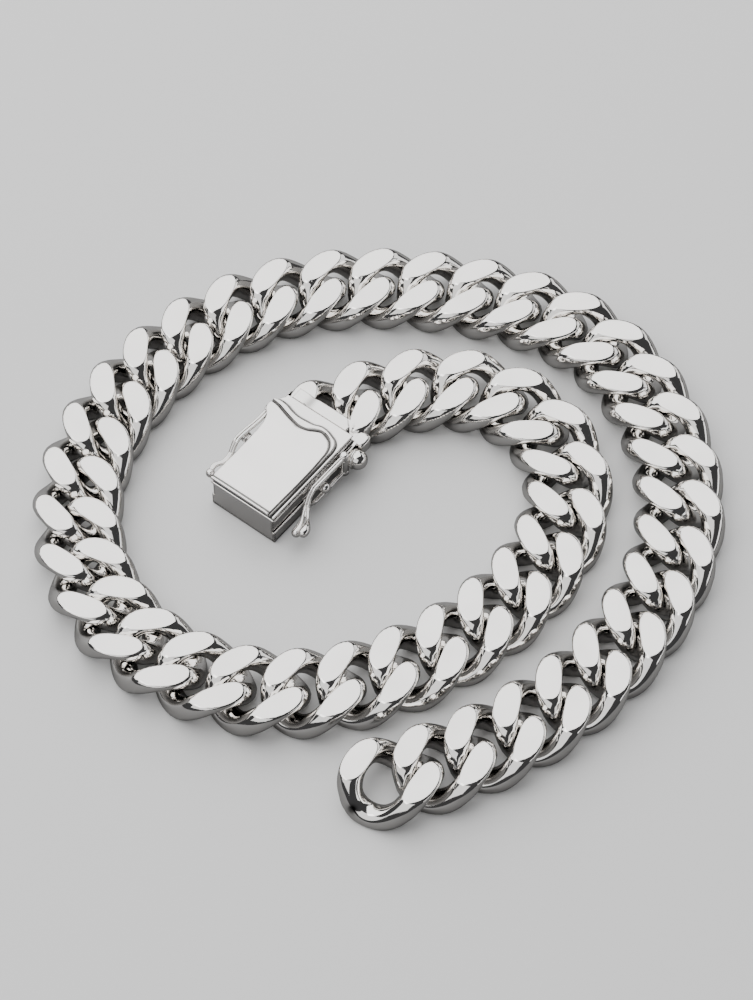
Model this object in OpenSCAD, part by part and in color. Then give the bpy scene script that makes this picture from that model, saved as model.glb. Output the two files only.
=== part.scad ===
// Flat-ground curb chain necklace, lying as an open spiral with its box clasp closed.
// Millimetres, +Z up, the surface that it lies on is z = 0 and the origin is the middle of its outline.

/* [Chain] */
// Number of links, with the one that is soldered to the tongue
link_count = 47; // [44:1:50]
// Diameter of the wire that the links are bent from
wire_d = 4.65; // [4.3:0.05:5]
// Outer width of a link across the chain
link_w = 17.9; // [17.3:0.1:18.5]
// How much longer a link's eye is than the two wires that it holds
eye_play = 1.45; // [1.3:0.05:1.6]
// Thickness of the chain between its two ground faces
chain_h = 7.5; // [7.2:0.1:8.2]
// How much the wire is spread sideways where it is ground, as a share of its diameter
face_spread = 0.1; // [0:0.01:0.14]
// Twist of a link's end out of the flat, in degrees
link_twist = 50; // [47:1:53]
// Least room between two neighbouring links, along the chain
link_gap = 0.25; // [0.2:0.01:0.3]

/* [Clasp box] */
// Length of the box along the chain
box_l = 25; // [22:0.1:28]
// Width of the box
box_w = 16.5; // [15:0.1:18]
// Height of the box
box_h = 9; // [8.6:0.1:9.4]
// Thickness of the box's walls
box_wall = 0.8; // [0.6:0.05:1.1]
// Angle that the clasp is turned by from the last link, in degrees
clasp_turn = 23.5; // [18:0.5:26]
// Width of the raised bead round the lid panel
bead_w = 1.5; // [1:0.1:2]
// Height of the bead above the band at the mouth
bead_rise = 0.35; // [0.25:0.05:0.6]
// How much further in the box's left side stands behind its front corner
left_in = 0.7; // [0.4:0.05:0.9]
// How far the lid's front left corner reaches out over the left latch's hinge
horn_out = 1.2; // [0.8:0.05:1.4]
// Height of the rail along the foot of the box's sides
rail_h = 3.2; // [2.6:0.1:3.6]

/* [Tongue] */
// Length of the end block along the chain
block_l = 2.85; // [2.4:0.05:3.4]
// Width of the end block
block_w = 13.6; // [12.5:0.1:14.5]
// Distance from the last link's middle to the block's face at the seam
solder_reach = 4.1; // [3.8:0.05:4.6]
// Width of the spring blade
blade_w = 10.5; // [9:0.1:11.5]
// Length of the spring blade inside the box
blade_l = 19; // [16:0.1:20]
// Thickness of the spring blade
blade_t = 0.8; // [0.6:0.05:0.9]
// Diameter of the release ball
ball_d = 4; // [3.5:0.1:4.1]

/* [Safety latches] */
// Diameter of the latch wire
latch_wire_d = 1.15; // [0.9:0.05:1.3]
// Distance between a latch's upper and lower wire, middle to middle
latch_spread = 5; // [4.7:0.05:5.05]
// Distance from the seam to the hinge pin
hinge_back = 4.4; // [4.2:0.05:5]
// Distance from the box's side to the hinge pin
hinge_out = 1.15; // [1.15:0.05:1.5]
// Diameter of the hinge pin
pin_d = 0.9; // [0.7:0.05:1]
// Distance from the hinge pin to a latch's tip
latch_l = 18; // [15:0.1:18.6]
// How far the right latch's tip stands out beyond its hinge
flare_right = 3.2; // [2:0.1:4]
// How far the left latch bows out over its stud
bow_left = 0.5; // [0.2:0.05:0.9]
// Distance from the hinge pin to the stud that a latch closes over
stud_back = 6.8; // [6:0.1:7.2]
// Diameter of the stud's head
stud_head_d = 2.3; // [1.9:0.05:2.5]

/* [Fits] */
// Gap between pieces that face each other
piece_gap = 0.15; // [0.1:0.01:0.2]
// Play of the hinge pin in its knuckle and eyes
pin_play = 0.08; // [0.05:0.01:0.1]

/* [Hidden] */
silver = [0.86, 0.86, 0.85];
polished = [0.93, 0.93, 0.92];
$fn = 48;

// The route that the chain lies along, from its free end round to the clasp: the points that pull a
// smooth curve through the spiral, chosen by hand.
ROUTE = [[-52, -68], [6, -63], [42, -41], [62, -8], [58, 23], [42, 47], [11, 56], [-23, 55], [-51, 32],
         [-62, 0], [-51, -30], [-22, -45], [10, -37], [36, -12], [40, 13], [23, 32], [-7, 28], [-49, -8]];
// How the chain's slack lies along the run, chosen by hand: share of the run, 0 pushed up and 1 pulled out.
SLACK = [[0, 1], [0.15, 1], [0.24, 0], [0.6, 0], [0.69, 1], [0.84, 0.5], [0.91, 0], [1, 0]];

// A link is a round wire along a squared oval whose ends are twisted out of the flat, ground flat
// on both faces.
link_squareness = 2.2;
twist_fullness = 0.2;
// Turns round the oval at which the wire has a ring, the same in each quarter.
QUARTER = [0, 27, 47, 70];
HALF = concat(QUARTER, [90], [for (i = [len(QUARTER) - 1:-1:1]) 180 - QUARTER[i]]);
STATIONS = concat(HALF, [for (a = HALF) 180 + a]);
stations = len(STATIONS);
wire_sides = 6;
axis_a = (3*wire_d + eye_play)/2;
axis_b = (link_w - wire_d)/2;
// The wire's section is a polygon whose corners lie on the round wire.
wire_r = wire_d/2;
// Distance between two links' middles where the chain is pushed up, and where it is pulled out.
spacing_close = 2*wire_d + (eye_play + link_gap)/2;
spacing_taut = 2*wire_d + eye_play - link_gap;

function signed_power(v, e) = sign(v)*pow(abs(v), e);
function link_axis(t) =
    let(u = signed_power(cos(t), 2/link_squareness),
        v = axis_b*signed_power(sin(t), 2/link_squareness),
        turn = link_twist*u*(1 + twist_fullness*(1 - u*u)))
    [axis_a*u, v*cos(turn), -v*sin(turn)];
function unit(v) = v/norm(v);

// Height on the wire's circle, as an angle, where the grinding plane cuts it: never past the corner of
// an even six-sided section.
corner_angle = 60;
deepest_cut = -0.9;
function cut_angle(rise) = rise >= sin(corner_angle) ? corner_angle : asin(max(rise, deepest_cut));
function wire_ring(t) =
    let(c = link_axis(t),
        along = unit(link_axis(t + 1) - link_axis(t - 1)),
        up = unit([0, 0, 1] - along*along[2]),
        side = cross(along, up),
        half_w = wire_r*(1 + face_spread*abs(c[2])/(chain_h/2)),
        top = cut_angle((chain_h/2 - c[2])/(wire_r*up[2])),
        low = cut_angle((chain_h/2 + c[2])/(wire_r*up[2])))
    [for (a = [0, top, 180 - top, 180, 180 + low, 360 - low])
        c + half_w*cos(a)*side + wire_r*sin(a)*up];
LINK = [for (t = STATIONS) each wire_ring(t)];
ring_points = len(LINK);
function ring_index(i, j) = (i%stations)*wire_sides + j%wire_sides;
LINK_FACES = [for (i = [0:stations - 1], j = [0:wire_sides - 1],
                   tri = [[ring_index(i, j), ring_index(i, j + 1), ring_index(i + 1, j + 1)],
                          [ring_index(i, j), ring_index(i + 1, j + 1), ring_index(i + 1, j)]]) tri];

// The route is a cubic curve of the points' running averages, scaled to the chain's real length.
function route_at(u) =
    let(i = max(0, min(floor(u), len(ROUTE) - 4)), t = u - i)
    (pow(1 - t, 3)*ROUTE[i] + (3*pow(t, 3) - 6*t*t + 4)*ROUTE[i + 1]
     + (-3*pow(t, 3) + 3*t*t + 3*t + 1)*ROUTE[i + 2] + pow(t, 3)*ROUTE[i + 3])/6;
route_steps = 450;
route_end = len(ROUTE) - 3;
ALONG_ROUTE = [for (i = 0, u = 0, d = 0; i <= route_steps;
                    i = i + 1, d = d + norm(route_at(route_end*i/route_steps) - route_at(u)),
                    u = route_end*i/route_steps) [d, u]];
function link_spacing(k) =
    spacing_close + (spacing_taut - spacing_close)*lookup(k/(link_count - 1), SLACK);
LINK_AT = [for (k = 0, d = 0; k < link_count; d = d + link_spacing(k), k = k + 1) d];
// Length of route before the first link's middle, so that its heading can be read off the curve.
run_in = 0.3;
heading_step = 0.01;
route_scale = (LINK_AT[link_count - 1] + 3*run_in)/ALONG_ROUTE[route_steps][0];
function route_u(d) = lookup((d + run_in)/route_scale, ALONG_ROUTE);
function link_centre(k) = route_scale*route_at(route_u(LINK_AT[k]));
function link_heading(k) =
    let(u = route_u(LINK_AT[k]), v = route_at(u + heading_step) - route_at(u - heading_step))
    atan2(v[1], v[0]);
function link_points(k) =
    let(c = link_centre(k), a = link_heading(k))
    [for (p = LINK) [c[0] + p[0]*cos(a) - p[1]*sin(a), c[1] + p[0]*sin(a) + p[1]*cos(a),
                     p[2] + chain_h/2]];

// The origin is under the middle of the whole outline, which the links alone reach.
LINKS = [for (k = [0:link_count - 1]) link_points(k)];
ALL_X = [for (l = LINKS, p = l) p[0]];
ALL_Y = [for (l = LINKS, p = l) p[1]];
outline_middle = [(min(ALL_X) + max(ALL_X))/2, (min(ALL_Y) + max(ALL_Y))/2, 0];

// The clasp's own frame: x from the seam into the box, y to the ball's side, z up from the surface.
clasp_heading = link_heading(link_count - 1) + clasp_turn;
seam_at = link_centre(link_count - 1)
          + (solder_reach + piece_gap)*[cos(clasp_heading), sin(clasp_heading)];

// How far shapes of one solid reach into each other, and how far a cut runs past the face it opens.
bite = 0.1;
past_face = 1;

// Levels of the box: base plate, side wall, ledge, groove and lid.
base_t = 1.2;
wall_inset = 0.45;
ledge_z = box_h - 2.2;
ledge_t = 0.6;
groove_depth = 0.6;
lid_z = box_h - 0.7;
lid_t = 1.2;
band_z = box_h - bead_rise;
mouth_lip = 0.7;
lip_l = 1.1;
// Front edge of the lid's bead: one wave across the width, running back into the rounded right corner.
wave_back = 1.65;
wave_crest = 0.17*box_w;
wave_length = 0.85*box_w;
wave_height = 0.45;
wave_gain = 0.6;
shoulder_at = 0.25*box_w;
shoulder_rate = 0.2;
lid_steps = 24;
// Where the left side's widened front corner ends and its straight run begins, and the corner's thickness.
horn_at = 4;
horn_end = 12;
horn_steps = 8;
horn_t = 0.5;
// Width of the bead along the right side and the back, as shares of its width at the front, and the
// panel's depth. The left side has no bead.
side_bead = 0.6;
back_bead = 0.4;
panel_depth = 0.2;

// The end block and what is on it.
block_clear = 0.5;
block_shift = 0.5;
dip_r = 1.6;
dip_at = 2.7;
dip_share = 0.8;
ball_x = 2;
ball_out = 2.65;
ball_drop = 4.1;

// The spring blade: room under its lower leaf and over its raised end, and that end's place and length.
leaf_room = 0.5;
catch_room = 0.25;
catch_back = 0.3;
catch_l = 0.6;
blade_root = 1;
leaf_rise = 1.7;
bend_back = 2.5;

// Levels of a latch: two wires, with the tongue's knuckle between their eyes.
latch_mid = box_h - 4.1;
eye_r = latch_wire_d/2 + pin_d/4 + 0.15;
eye_h = latch_wire_d;
knuckle_h = latch_spread - eye_h - 2*pin_play;
knuckle_r = pin_d/2 + 0.5;
pin_head_r = pin_d/2 + 0.3;
pin_head_t = 0.25;
cheek_t = 0.75;
cheek_low = latch_mid - knuckle_h/2;
hinge_y = box_w/2 + hinge_out;
cheek_seat = 0.6;
stud_reach = 3.4;
stud_neck_d = 1.1;
wire_faces = 8;
latch_steps = 16;
// Diameters of the right latch's two drops and of the left latch's ball.
drop_d = 1.8;
left_ball_d = 1.95;
// How far the latches' tips hang, and how the right one's two drops stand off each other.
right_drop = 0.4;
drops_in = 0.9;
drops_apart = 1.8;
// Share of a latch's length: where its wires close in, meet and part again.
close_in = 0.5;
meet = 0.72;
part_again = 0.86;
flare_from = 0.58;

module in_clasp() {
    translate([seam_at[0] - outline_middle[0], seam_at[1] - outline_middle[1], 0])
        rotate(clasp_heading) children();
}

// One shell for each link from the first to the last that is asked for, in one solid body.
module links(first, last) {
    translate(-outline_middle)
        polyhedron(points = [for (k = [first:last]) each LINKS[k]],
                   faces = [for (k = [0:last - first], f = LINK_FACES) [for (i = f) i + k*ring_points]],
                   convexity = 10);
}

module chain() color(silver) links(1, link_count - 2);
module end_link() color(polished) links(0, 0);

// Tube along computed points, each ring square to the run between its neighbours.
function wire_tangent(path, i) = unit(path[min(i + 1, len(path) - 1)] - path[max(i - 1, 0)]);
function wire_circle(path, i, r) =
    let(t = wire_tangent(path, i), s = unit(cross(t, [0, 0, 1])), n = cross(s, t))
    [for (j = [0:wire_faces - 1]) path[i] + r*(cos(360*j/wire_faces)*s + sin(360*j/wire_faces)*n)];
module wire(path, r) {
    n = len(path);
    polyhedron(points = [for (i = [0:n - 1]) each wire_circle(path, i, r)],
               faces = concat([[for (j = [wire_faces - 1:-1:0]) j]],
                              [for (i = [0:n - 2], j = [0:wire_faces - 1])
                                  [i*wire_faces + j, i*wire_faces + (j + 1)%wire_faces,
                                   (i + 1)*wire_faces + (j + 1)%wire_faces, (i + 1)*wire_faces + j]],
                              [[for (j = [0:wire_faces - 1]) (n - 1)*wire_faces + j]]));
}

// Front edge of the lid at a place across the box.
function lid_front(y, inset) =
    let(past = max(y - shoulder_at, 0))
    wave_back + inset - wave_height*(1 + wave_gain*inset)*cos(360*(y - wave_crest)/wave_length)
    + shoulder_rate*past*past;

// Smooth step between two places.
function ease(s, s0, s1) =
    let(t = min(max((s - s0)/(s1 - s0), 0), 1)) t*t*(3 - 2*t);

// Left side of the box, from the back to the front corner, which reaches out past the box's width.
function left_side(back, set_in, out) =
    concat([[back, left_in + set_in - box_w/2]],
           [for (i = [0:horn_steps]) let(x = horn_end + (horn_at - horn_end)*i/horn_steps)
               [x, set_in - box_w/2 + left_in - (left_in + out)*ease(x, horn_end, horn_at)]]);
module lid_outline(inset, out) {
    right = box_w/2 - side_bead*inset;
    left = box_w/2 + out;
    back = box_l - back_bead*inset;
    polygon(concat([for (i = [0:lid_steps]) let(y = -left + (left + right)*i/lid_steps)
                       [lid_front(y, inset), y]],
                   [[back, right]], left_side(back, 0, out)));
}
// Level of the box between two heights, its sides set in from its width.
module level(front, back, set_in, z0, z1) {
    translate([0, 0, z0]) linear_extrude(z1 - z0)
        polygon(concat([[front, set_in - box_w/2], [front, box_w/2 - set_in], [back, box_w/2 - set_in]],
                       left_side(back, set_in, 0)));
}

// Stud on the box's side: on the left it starts further in.
module side_stud(side) {
    deeper = side < 0 ? left_in + bite : 0;
    translate([hinge_back + stud_back, side*(box_w/2 - wall_inset - bite - deeper), latch_mid])
        rotate([-side*90, 0, 0]) {
            cylinder(d = stud_neck_d, h = deeper + stud_reach);
            translate([0, 0, deeper + stud_reach - stud_head_d/2]) sphere(d = stud_head_d);
        }
}

// Open box: the mouth at x = 0 takes the spring blade, and its lip holds the blade's raised end.
module clasp_box() color(polished) in_clasp() {
    hollow_l = box_l - groove_depth - box_wall;
    hollow_in = groove_depth + box_wall;
    floor_z = base_t - 2*bite;
    difference() {
        union() {
            level(0, box_l, 0, 0, rail_h);
            level(0, box_l, wall_inset, rail_h - bite, ledge_z + bite);
            level(0, box_l, 0, ledge_z, ledge_z + ledge_t);
            level(0, box_l - wall_inset, wall_inset, ledge_z, lid_z + bite);
            level(0, box_l - groove_depth, 0, lid_z, band_z);
            translate([0, 0, lid_z]) linear_extrude(box_h - lid_z) lid_outline(0, 0);
            translate([0, 0, box_h - horn_t]) linear_extrude(horn_t) lid_outline(0, horn_out);
        }
        level(-past_face, hollow_l, hollow_in, floor_z, box_h - lid_t - mouth_lip);
        level(lip_l, hollow_l, hollow_in, floor_z, box_h - lid_t);
        translate([0, 0, box_h - panel_depth]) linear_extrude(past_face)
            lid_outline(bead_w, horn_out + past_face);
    }
    side_stud(1);
    side_stud(-1);
}

// Cheek beside the box that carries a latch's hinge.
module hinge_cheek(side) {
    face = box_w/2 + piece_gap;
    outer = face + cheek_t;
    root_in = block_w/2 - 2*block_shift;
    root_x = cheek_seat - block_l;
    difference() {
        union() {
            translate([root_x, side > 0 ? root_in : -outer, cheek_low])
                cube([-piece_gap - root_x, outer - root_in, knuckle_h]);
            translate([root_x, side > 0 ? face : -outer, cheek_low])
                cube([hinge_back - root_x, cheek_t, knuckle_h]);
            translate([hinge_back, side*hinge_y, cheek_low]) cylinder(r = knuckle_r, h = knuckle_h);
        }
        translate([hinge_back, side*hinge_y, cheek_low - past_face])
            cylinder(d = pin_d + 2*pin_play, h = knuckle_h + 2*past_face);
    }
}

// Spring blade: a lower leaf, bent back at its tip into an upper leaf that rises to the lip.
module spring_blade() {
    leaf_z = base_t + leaf_room;
    catch_z = box_h - lid_t - catch_room;
    catch_x = lip_l + catch_back;
    translate([0, (blade_w + left_in)/2, 0]) rotate([90, 0, 0]) linear_extrude(blade_w)
        polygon([[-blade_root, leaf_z], [blade_l, leaf_z], [blade_l, leaf_z + leaf_rise*blade_t],
                 [catch_x + catch_l, catch_z], [catch_x, catch_z], [catch_x, catch_z - blade_t],
                 [blade_l - bend_back*blade_t, leaf_z + blade_t], [-blade_root, leaf_z + blade_t]]);
}

// End block with the last link soldered on: the link is cut off at the block's face.
module tongue() color(silver) {
    difference() {
        links(link_count - 1, link_count - 1);
        in_clasp() translate([-piece_gap, -link_w, -past_face])
            cube([link_w, 2*link_w, chain_h + 2*past_face]);
    }
    in_clasp() {
        difference() {
            translate([-block_l, -block_w/2 - block_shift, block_clear])
                cube([block_l - piece_gap, block_w, box_h - 2*block_clear]);
            translate([-block_l - past_face, -dip_at, box_h - block_clear + dip_share*dip_r])
                rotate([0, 90, 0]) cylinder(r = dip_r, h = block_l + past_face);
        }
        spring_blade();
        hinge_cheek(1);
        hinge_cheek(-1);
        translate([ball_x, box_w/2 + ball_out, box_h - ball_drop]) sphere(d = ball_d);
    }
}

// Distance of a latch's two wires from its middle level, along its length.
joined = 0.4*latch_wire_d;
parted = 0.3*latch_wire_d;
function wires_apart(s) =
    latch_spread/2*(1 - ease(s, close_in, meet)) + joined*ease(s, close_in, meet)
    + parted*ease(s, part_again, 1);
module latch(side, path_out, level) {
    for (up = [-1, 1])
        difference() {
            eye_low = latch_mid + up*latch_spread/2 - eye_h/2;
            union() {
                translate([hinge_back, side*hinge_y, eye_low]) cylinder(r = eye_r, h = eye_h);
                wire([for (i = [1:latch_steps]) let(s = i/latch_steps)
                      [hinge_back + s*latch_l, side*(hinge_y + path_out(s, up)),
                       latch_mid - level*ease(s, close_in, 1) + up*wires_apart(s)]], latch_wire_d/2);
                translate([hinge_back, side*hinge_y - latch_wire_d/2, eye_low])
                    cube([latch_l/latch_steps + 4*bite, latch_wire_d, eye_h]);
            }
            translate([hinge_back, side*hinge_y, latch_mid - latch_spread])
                cylinder(d = pin_d + 2*pin_play, h = 2*latch_spread);
        }
}

// The right latch's wires run together, flare outwards and end as two drops, one above the other.
right_out = function(s, up) flare_right*ease(s, flare_from, 1)
    + ((up + 1)/2*drops_apart - drops_in)*ease(s, part_again, 1);
module latch_right() color(polished) in_clasp() {
    latch(1, right_out, right_drop);
    for (up = [-1, 1])
        translate([hinge_back + latch_l, hinge_y + right_out(1, up),
                   latch_mid - right_drop + up*wires_apart(1)]) sphere(d = drop_d);
}

// The left latch bows out over its stud, is pinched in behind it and ends in a ball.
BOW = [0.15, 0.5];
PINCH = [0.55, 0.72];
LOOP = [0.78, 0.9];
TIP = [0.92, 1];
pinch_share = 0.75;
loop_out = 0.9;
tip_in = 0.5;
left_out = function(s, up) bow_left*(ease(s, BOW[0], BOW[1]) - pinch_share*ease(s, PINCH[0], PINCH[1]))
    + loop_out*ease(s, LOOP[0], LOOP[1]) - tip_in*ease(s, TIP[0], TIP[1]);
module latch_left() color(polished) in_clasp() {
    latch(-1, left_out, 0);
    translate([hinge_back + latch_l, -(hinge_y + left_out(1, 0)), latch_mid]) sphere(d = left_ball_d);
}

module hinge_pin(side) {
    reach = latch_spread/2 + eye_h/2 + pin_play;
    translate([hinge_back, side*hinge_y, latch_mid]) {
        translate([0, 0, -reach - bite]) cylinder(d = pin_d, h = 2*(reach + bite));
        for (up = [-1, 1])
            translate([0, 0, up*(reach + pin_head_t/2) - pin_head_t/2])
                cylinder(r = pin_head_r, h = pin_head_t);
    }
}
module hinge_pin_right() color(silver) in_clasp() hinge_pin(1);
module hinge_pin_left() color(silver) in_clasp() hinge_pin(-1);

chain();
end_link();
tongue();
clasp_box();
latch_right();
latch_left();
hinge_pin_right();
hinge_pin_left();
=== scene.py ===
"""A flat-ground curb chain necklace of polished silver, lying as an open spiral with its box clasp closed.

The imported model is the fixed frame. The links, the tongue, the box, the latches and the pins are made here
as fine surfaces in the places of its solids. Lengths are in millimetres until a mesh is made from them.
"""

import logging
from dataclasses import dataclass, field, replace
from enum import Enum
from typing import Callable

import bmesh
import bpy
import numpy as np
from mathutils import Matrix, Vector


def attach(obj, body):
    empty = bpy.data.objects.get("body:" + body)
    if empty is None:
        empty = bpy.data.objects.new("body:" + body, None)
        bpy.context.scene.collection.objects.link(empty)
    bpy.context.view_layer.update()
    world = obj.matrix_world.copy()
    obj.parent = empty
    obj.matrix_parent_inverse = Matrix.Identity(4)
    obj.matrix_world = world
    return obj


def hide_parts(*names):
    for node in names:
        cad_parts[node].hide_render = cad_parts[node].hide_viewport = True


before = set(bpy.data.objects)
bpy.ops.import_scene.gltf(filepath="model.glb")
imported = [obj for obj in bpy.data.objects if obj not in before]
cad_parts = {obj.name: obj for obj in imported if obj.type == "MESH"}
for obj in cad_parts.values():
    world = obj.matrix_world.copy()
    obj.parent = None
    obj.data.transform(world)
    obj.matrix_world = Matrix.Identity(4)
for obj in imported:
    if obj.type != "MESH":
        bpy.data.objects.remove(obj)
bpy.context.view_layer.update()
LOG = logging.getLogger("necklace")
Array = np.ndarray
Socket = bpy.types.NodeSocket
Triple = tuple[float, float, float]
Pairs = tuple[tuple[float, float], ...]
MM = 0.001
UP = np.array([0.0, 0.0, 1.0])
# A direction that no turned piece's axis runs along, to measure its angles from.
ASKEW = np.array([0.3, 0.9, 0.2])
# Rise of a wire from which its rings are set out from the x direction, because the vertical runs along it.
STEEP = 0.98
# Angles of the rings on a wire's half-round end.
END_RINGS = np.radians([30, 60, 82])
# Angles of the rings over a plate's quarter-round edge.
EDGE_RINGS = np.radians([90, 60, 30, 0])
# Angles of the grid lines on a relief's round edge.
EDGE_LINES = np.radians([0, 30, 60])

# The route that the chain lies along: the points that pull a smooth curve through the spiral.
ROUTE = np.array([[-52, -68], [6, -63], [42, -41], [62, -8], [58, 23], [42, 47], [11, 56], [-23, 55],
                  [-51, 32], [-62, 0], [-51, -30], [-22, -45], [10, -37], [36, -12], [40, 13], [23, 32],
                  [-7, 28], [-49, -8]], dtype=float)
# How the chain's slack lies along the run: share of the run, 0 pushed up and 1 pulled out.
SLACK = np.array([[0, 1], [0.15, 1], [0.24, 0], [0.6, 0], [0.69, 1], [0.84, 0.5], [0.91, 0], [1, 0]])


class Side(Enum):
    """The two sides of the clasp: the release ball stands on the first one."""

    BALL = 1
    PLAIN = -1

    @property
    def word(self) -> str:
        """The side's word in the names of pieces, bodies and nodes."""
        return "right" if self is Side.BALL else "left"


def unit(vectors: Array) -> Array:
    """Returns the vectors scaled to length one."""
    return vectors/np.linalg.norm(vectors, axis=-1, keepdims=True)


def signed_power(values: Array, exponent: float) -> Array:
    """Returns the values raised to the exponent, with their signs kept."""
    return np.sign(values)*np.abs(values)**exponent


def ease(value: Array, start: float, end: float) -> Array:
    """Smooth step: 0 before start, 1 after end, and t squared times (3 - 2t) between them."""
    t = np.clip((value - start)/(end - start), 0, 1)
    return t*t*(3 - 2*t)


def stepped(value: Array, steps: tuple[Triple, ...]) -> Array:
    """Returns the sum of smooth steps at a value: each is a rise and the values of its two ends."""
    return sum(rise*ease(value, start, end) for rise, start, end in steps)


def bell(value: Array, middle: float, width: float) -> Array:
    """Bell curve: exp of minus the square of (value - middle)/width."""
    return np.exp(-((value - middle)/width)**2)


def edge_fall(to_edge: Array, radius: float) -> Array:
    """Fall of a round edge: radius times (1 - sqrt(1 - d^2)), where d is 1 at its rim and 0 at its inside."""
    d = np.clip(1 - to_edge/radius, 0, 1)
    return radius*(1 - np.sqrt(1 - d**2))


def turned(points: Array, degrees: float) -> Array:
    """Points turned about the vertical through the origin.

    Args:
        points: places or directions, N by 3.
        degrees: the turn, counter-clockwise from above.

    Returns:
        The turned points.
    """
    a = np.radians(degrees)
    matrix = np.array([[np.cos(a), -np.sin(a), 0], [np.sin(a), np.cos(a), 0], [0, 0, 1]])
    return points@matrix.T


def grid_quads(rows: int, columns: int, rows_close: bool, columns_close: bool) -> Array:
    """Faces of a grid of points stored row by row.

    Args:
        rows: number of rows.
        columns: number of points in a row.
        rows_close: whether the last row joins the first.
        columns_close: whether each row's last point joins its first.

    Returns:
        One row of four point numbers for each face.
    """
    i, j = np.meshgrid(np.arange(rows if rows_close else rows - 1),
                       np.arange(columns if columns_close else columns - 1), indexing="ij")
    i2, j2 = (i + 1) % rows, (j + 1) % columns
    return np.stack([i*columns + j, i*columns + j2, i2*columns + j2, i2*columns + j], -1).reshape(-1, 4)


@dataclass
class Skin:
    """One or more closed skins.

    Fields:
        points: places in millimetres, N by 3.
        quads: faces of four points, F by 4.
        caps: flat faces of any number of points.
        facing: N by 3 unit vectors that the shading follows; worked out from the faces if left out.
        ground: N shares, 1 on a ground face and 0 on a round one.
        painted_shade: N shares of painted shade, 1 where a recess is painted near-black for the shade in it.
    """

    points: Array
    quads: Array
    caps: list[list[int]] = field(default_factory=list)
    facing: Array | None = None
    ground: Array | None = None
    painted_shade: Array | None = None

    def __post_init__(self) -> None:
        """Turns the faces outwards and fills in what was left out."""
        if self.volume() < 0:
            self.quads = self.quads[:, ::-1]
            self.caps = [cap[::-1] for cap in self.caps]
        if self.ground is None:
            self.ground = np.zeros(len(self.points))
        if self.painted_shade is None:
            self.painted_shade = np.zeros(len(self.points))
        if self.facing is None:
            self.facing = self.soft_facing()

    def triangles(self) -> Array:
        """Every face as triangles; a cap as a fan from its first point.

        Returns:
            One row of three point numbers for each triangle.
        """
        quads = self.quads
        fans = [np.stack([np.full(len(c) - 2, c[0]), c[1:-1], c[2:]], -1) for c in map(np.asarray, self.caps)]
        return np.concatenate([quads[:, [0, 1, 2]], quads[:, [0, 2, 3]], *fans]).astype(int)

    def volume(self) -> float:
        """Returns the volume that the faces hold: negative if they point inwards."""
        a, b, c = (self.points[self.triangles()[:, k]] for k in range(3))
        return float(np.einsum("ij,ij->", a, np.cross(b, c)))/6

    def soft_facing(self) -> Array:
        """Each point's direction: the sum of its faces' directions, weighted by their areas.

        Returns:
            The unit vectors, N by 3.
        """
        triangles = self.triangles()
        a, b, c = (self.points[triangles[:, k]] for k in range(3))
        areas = np.cross(b - a, c - a)
        total = np.zeros_like(self.points)
        for k in range(3):
            np.add.at(total, triangles[:, k], areas)
        never_zero = 1e-12*UP
        return unit(total + never_zero)

    def moved(self, degrees: float, by: Array) -> "Skin":
        """Returns the skin turned about the vertical and then moved."""
        return Skin(turned(self.points, degrees) + by, self.quads, self.caps, turned(self.facing, degrees),
                    self.ground, self.painted_shade)

    @staticmethod
    def joined(skins: list["Skin"]) -> "Skin":
        """Several skins as one.

        Args:
            skins: the skins, each closed.

        Returns:
            One skin of all their points and faces, in order.
        """
        starts = np.cumsum([0] + [len(s.points) for s in skins[:-1]])
        quads = np.concatenate([s.quads + n for s, n in zip(skins, starts)])
        caps = [[i + int(n) for i in cap] for s, n in zip(skins, starts) for cap in s.caps]
        return Skin(np.concatenate([s.points for s in skins]), quads, caps,
                    np.concatenate([s.facing for s in skins]), np.concatenate([s.ground for s in skins]),
                    np.concatenate([s.painted_shade for s in skins]))

    def mesh(self, name: str) -> bpy.types.Object:
        """Makes the skin's mesh, in metres, with its shading directions and its two attributes.

        Args:
            name: the object's name.

        Returns:
            The object, at the origin.
        """
        mesh = bpy.data.meshes.new(name)
        mesh.from_pydata((self.points*MM).tolist(), [], self.quads.tolist() + self.caps)
        mesh.polygons.foreach_set("use_smooth", np.ones(len(mesh.polygons), dtype=bool))
        # The second attribute is painted shade: how dark each place in a recess is painted.
        for attribute, shares in (("ground", self.ground), ("painted_shade", self.painted_shade)):
            layer = mesh.attributes.new(attribute, "FLOAT", "POINT")
            layer.data.foreach_set("value", shares.astype(np.float32))
        mesh.normals_split_custom_set_from_vertices(self.facing.tolist())
        mesh.update()
        made = bpy.data.objects.new(name, mesh)
        bpy.context.scene.collection.objects.link(made)
        return made


def tube(rings: Array, closed: bool = False) -> Skin:
    """Skin over a row of rings.

    Args:
        rings: the rings' points, rings by points by 3.
        closed: whether the last ring joins the first; if not, a flat cap closes each end.

    Returns:
        The closed skin.
    """
    rows, columns = rings.shape[:2]
    caps = [] if closed else [list(range(columns)), list(range((rows - 1)*columns, rows*columns))[::-1]]
    return Skin(rings.reshape(-1, 3), grid_quads(rows, columns, closed, True)[:, ::-1], caps)


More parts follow.
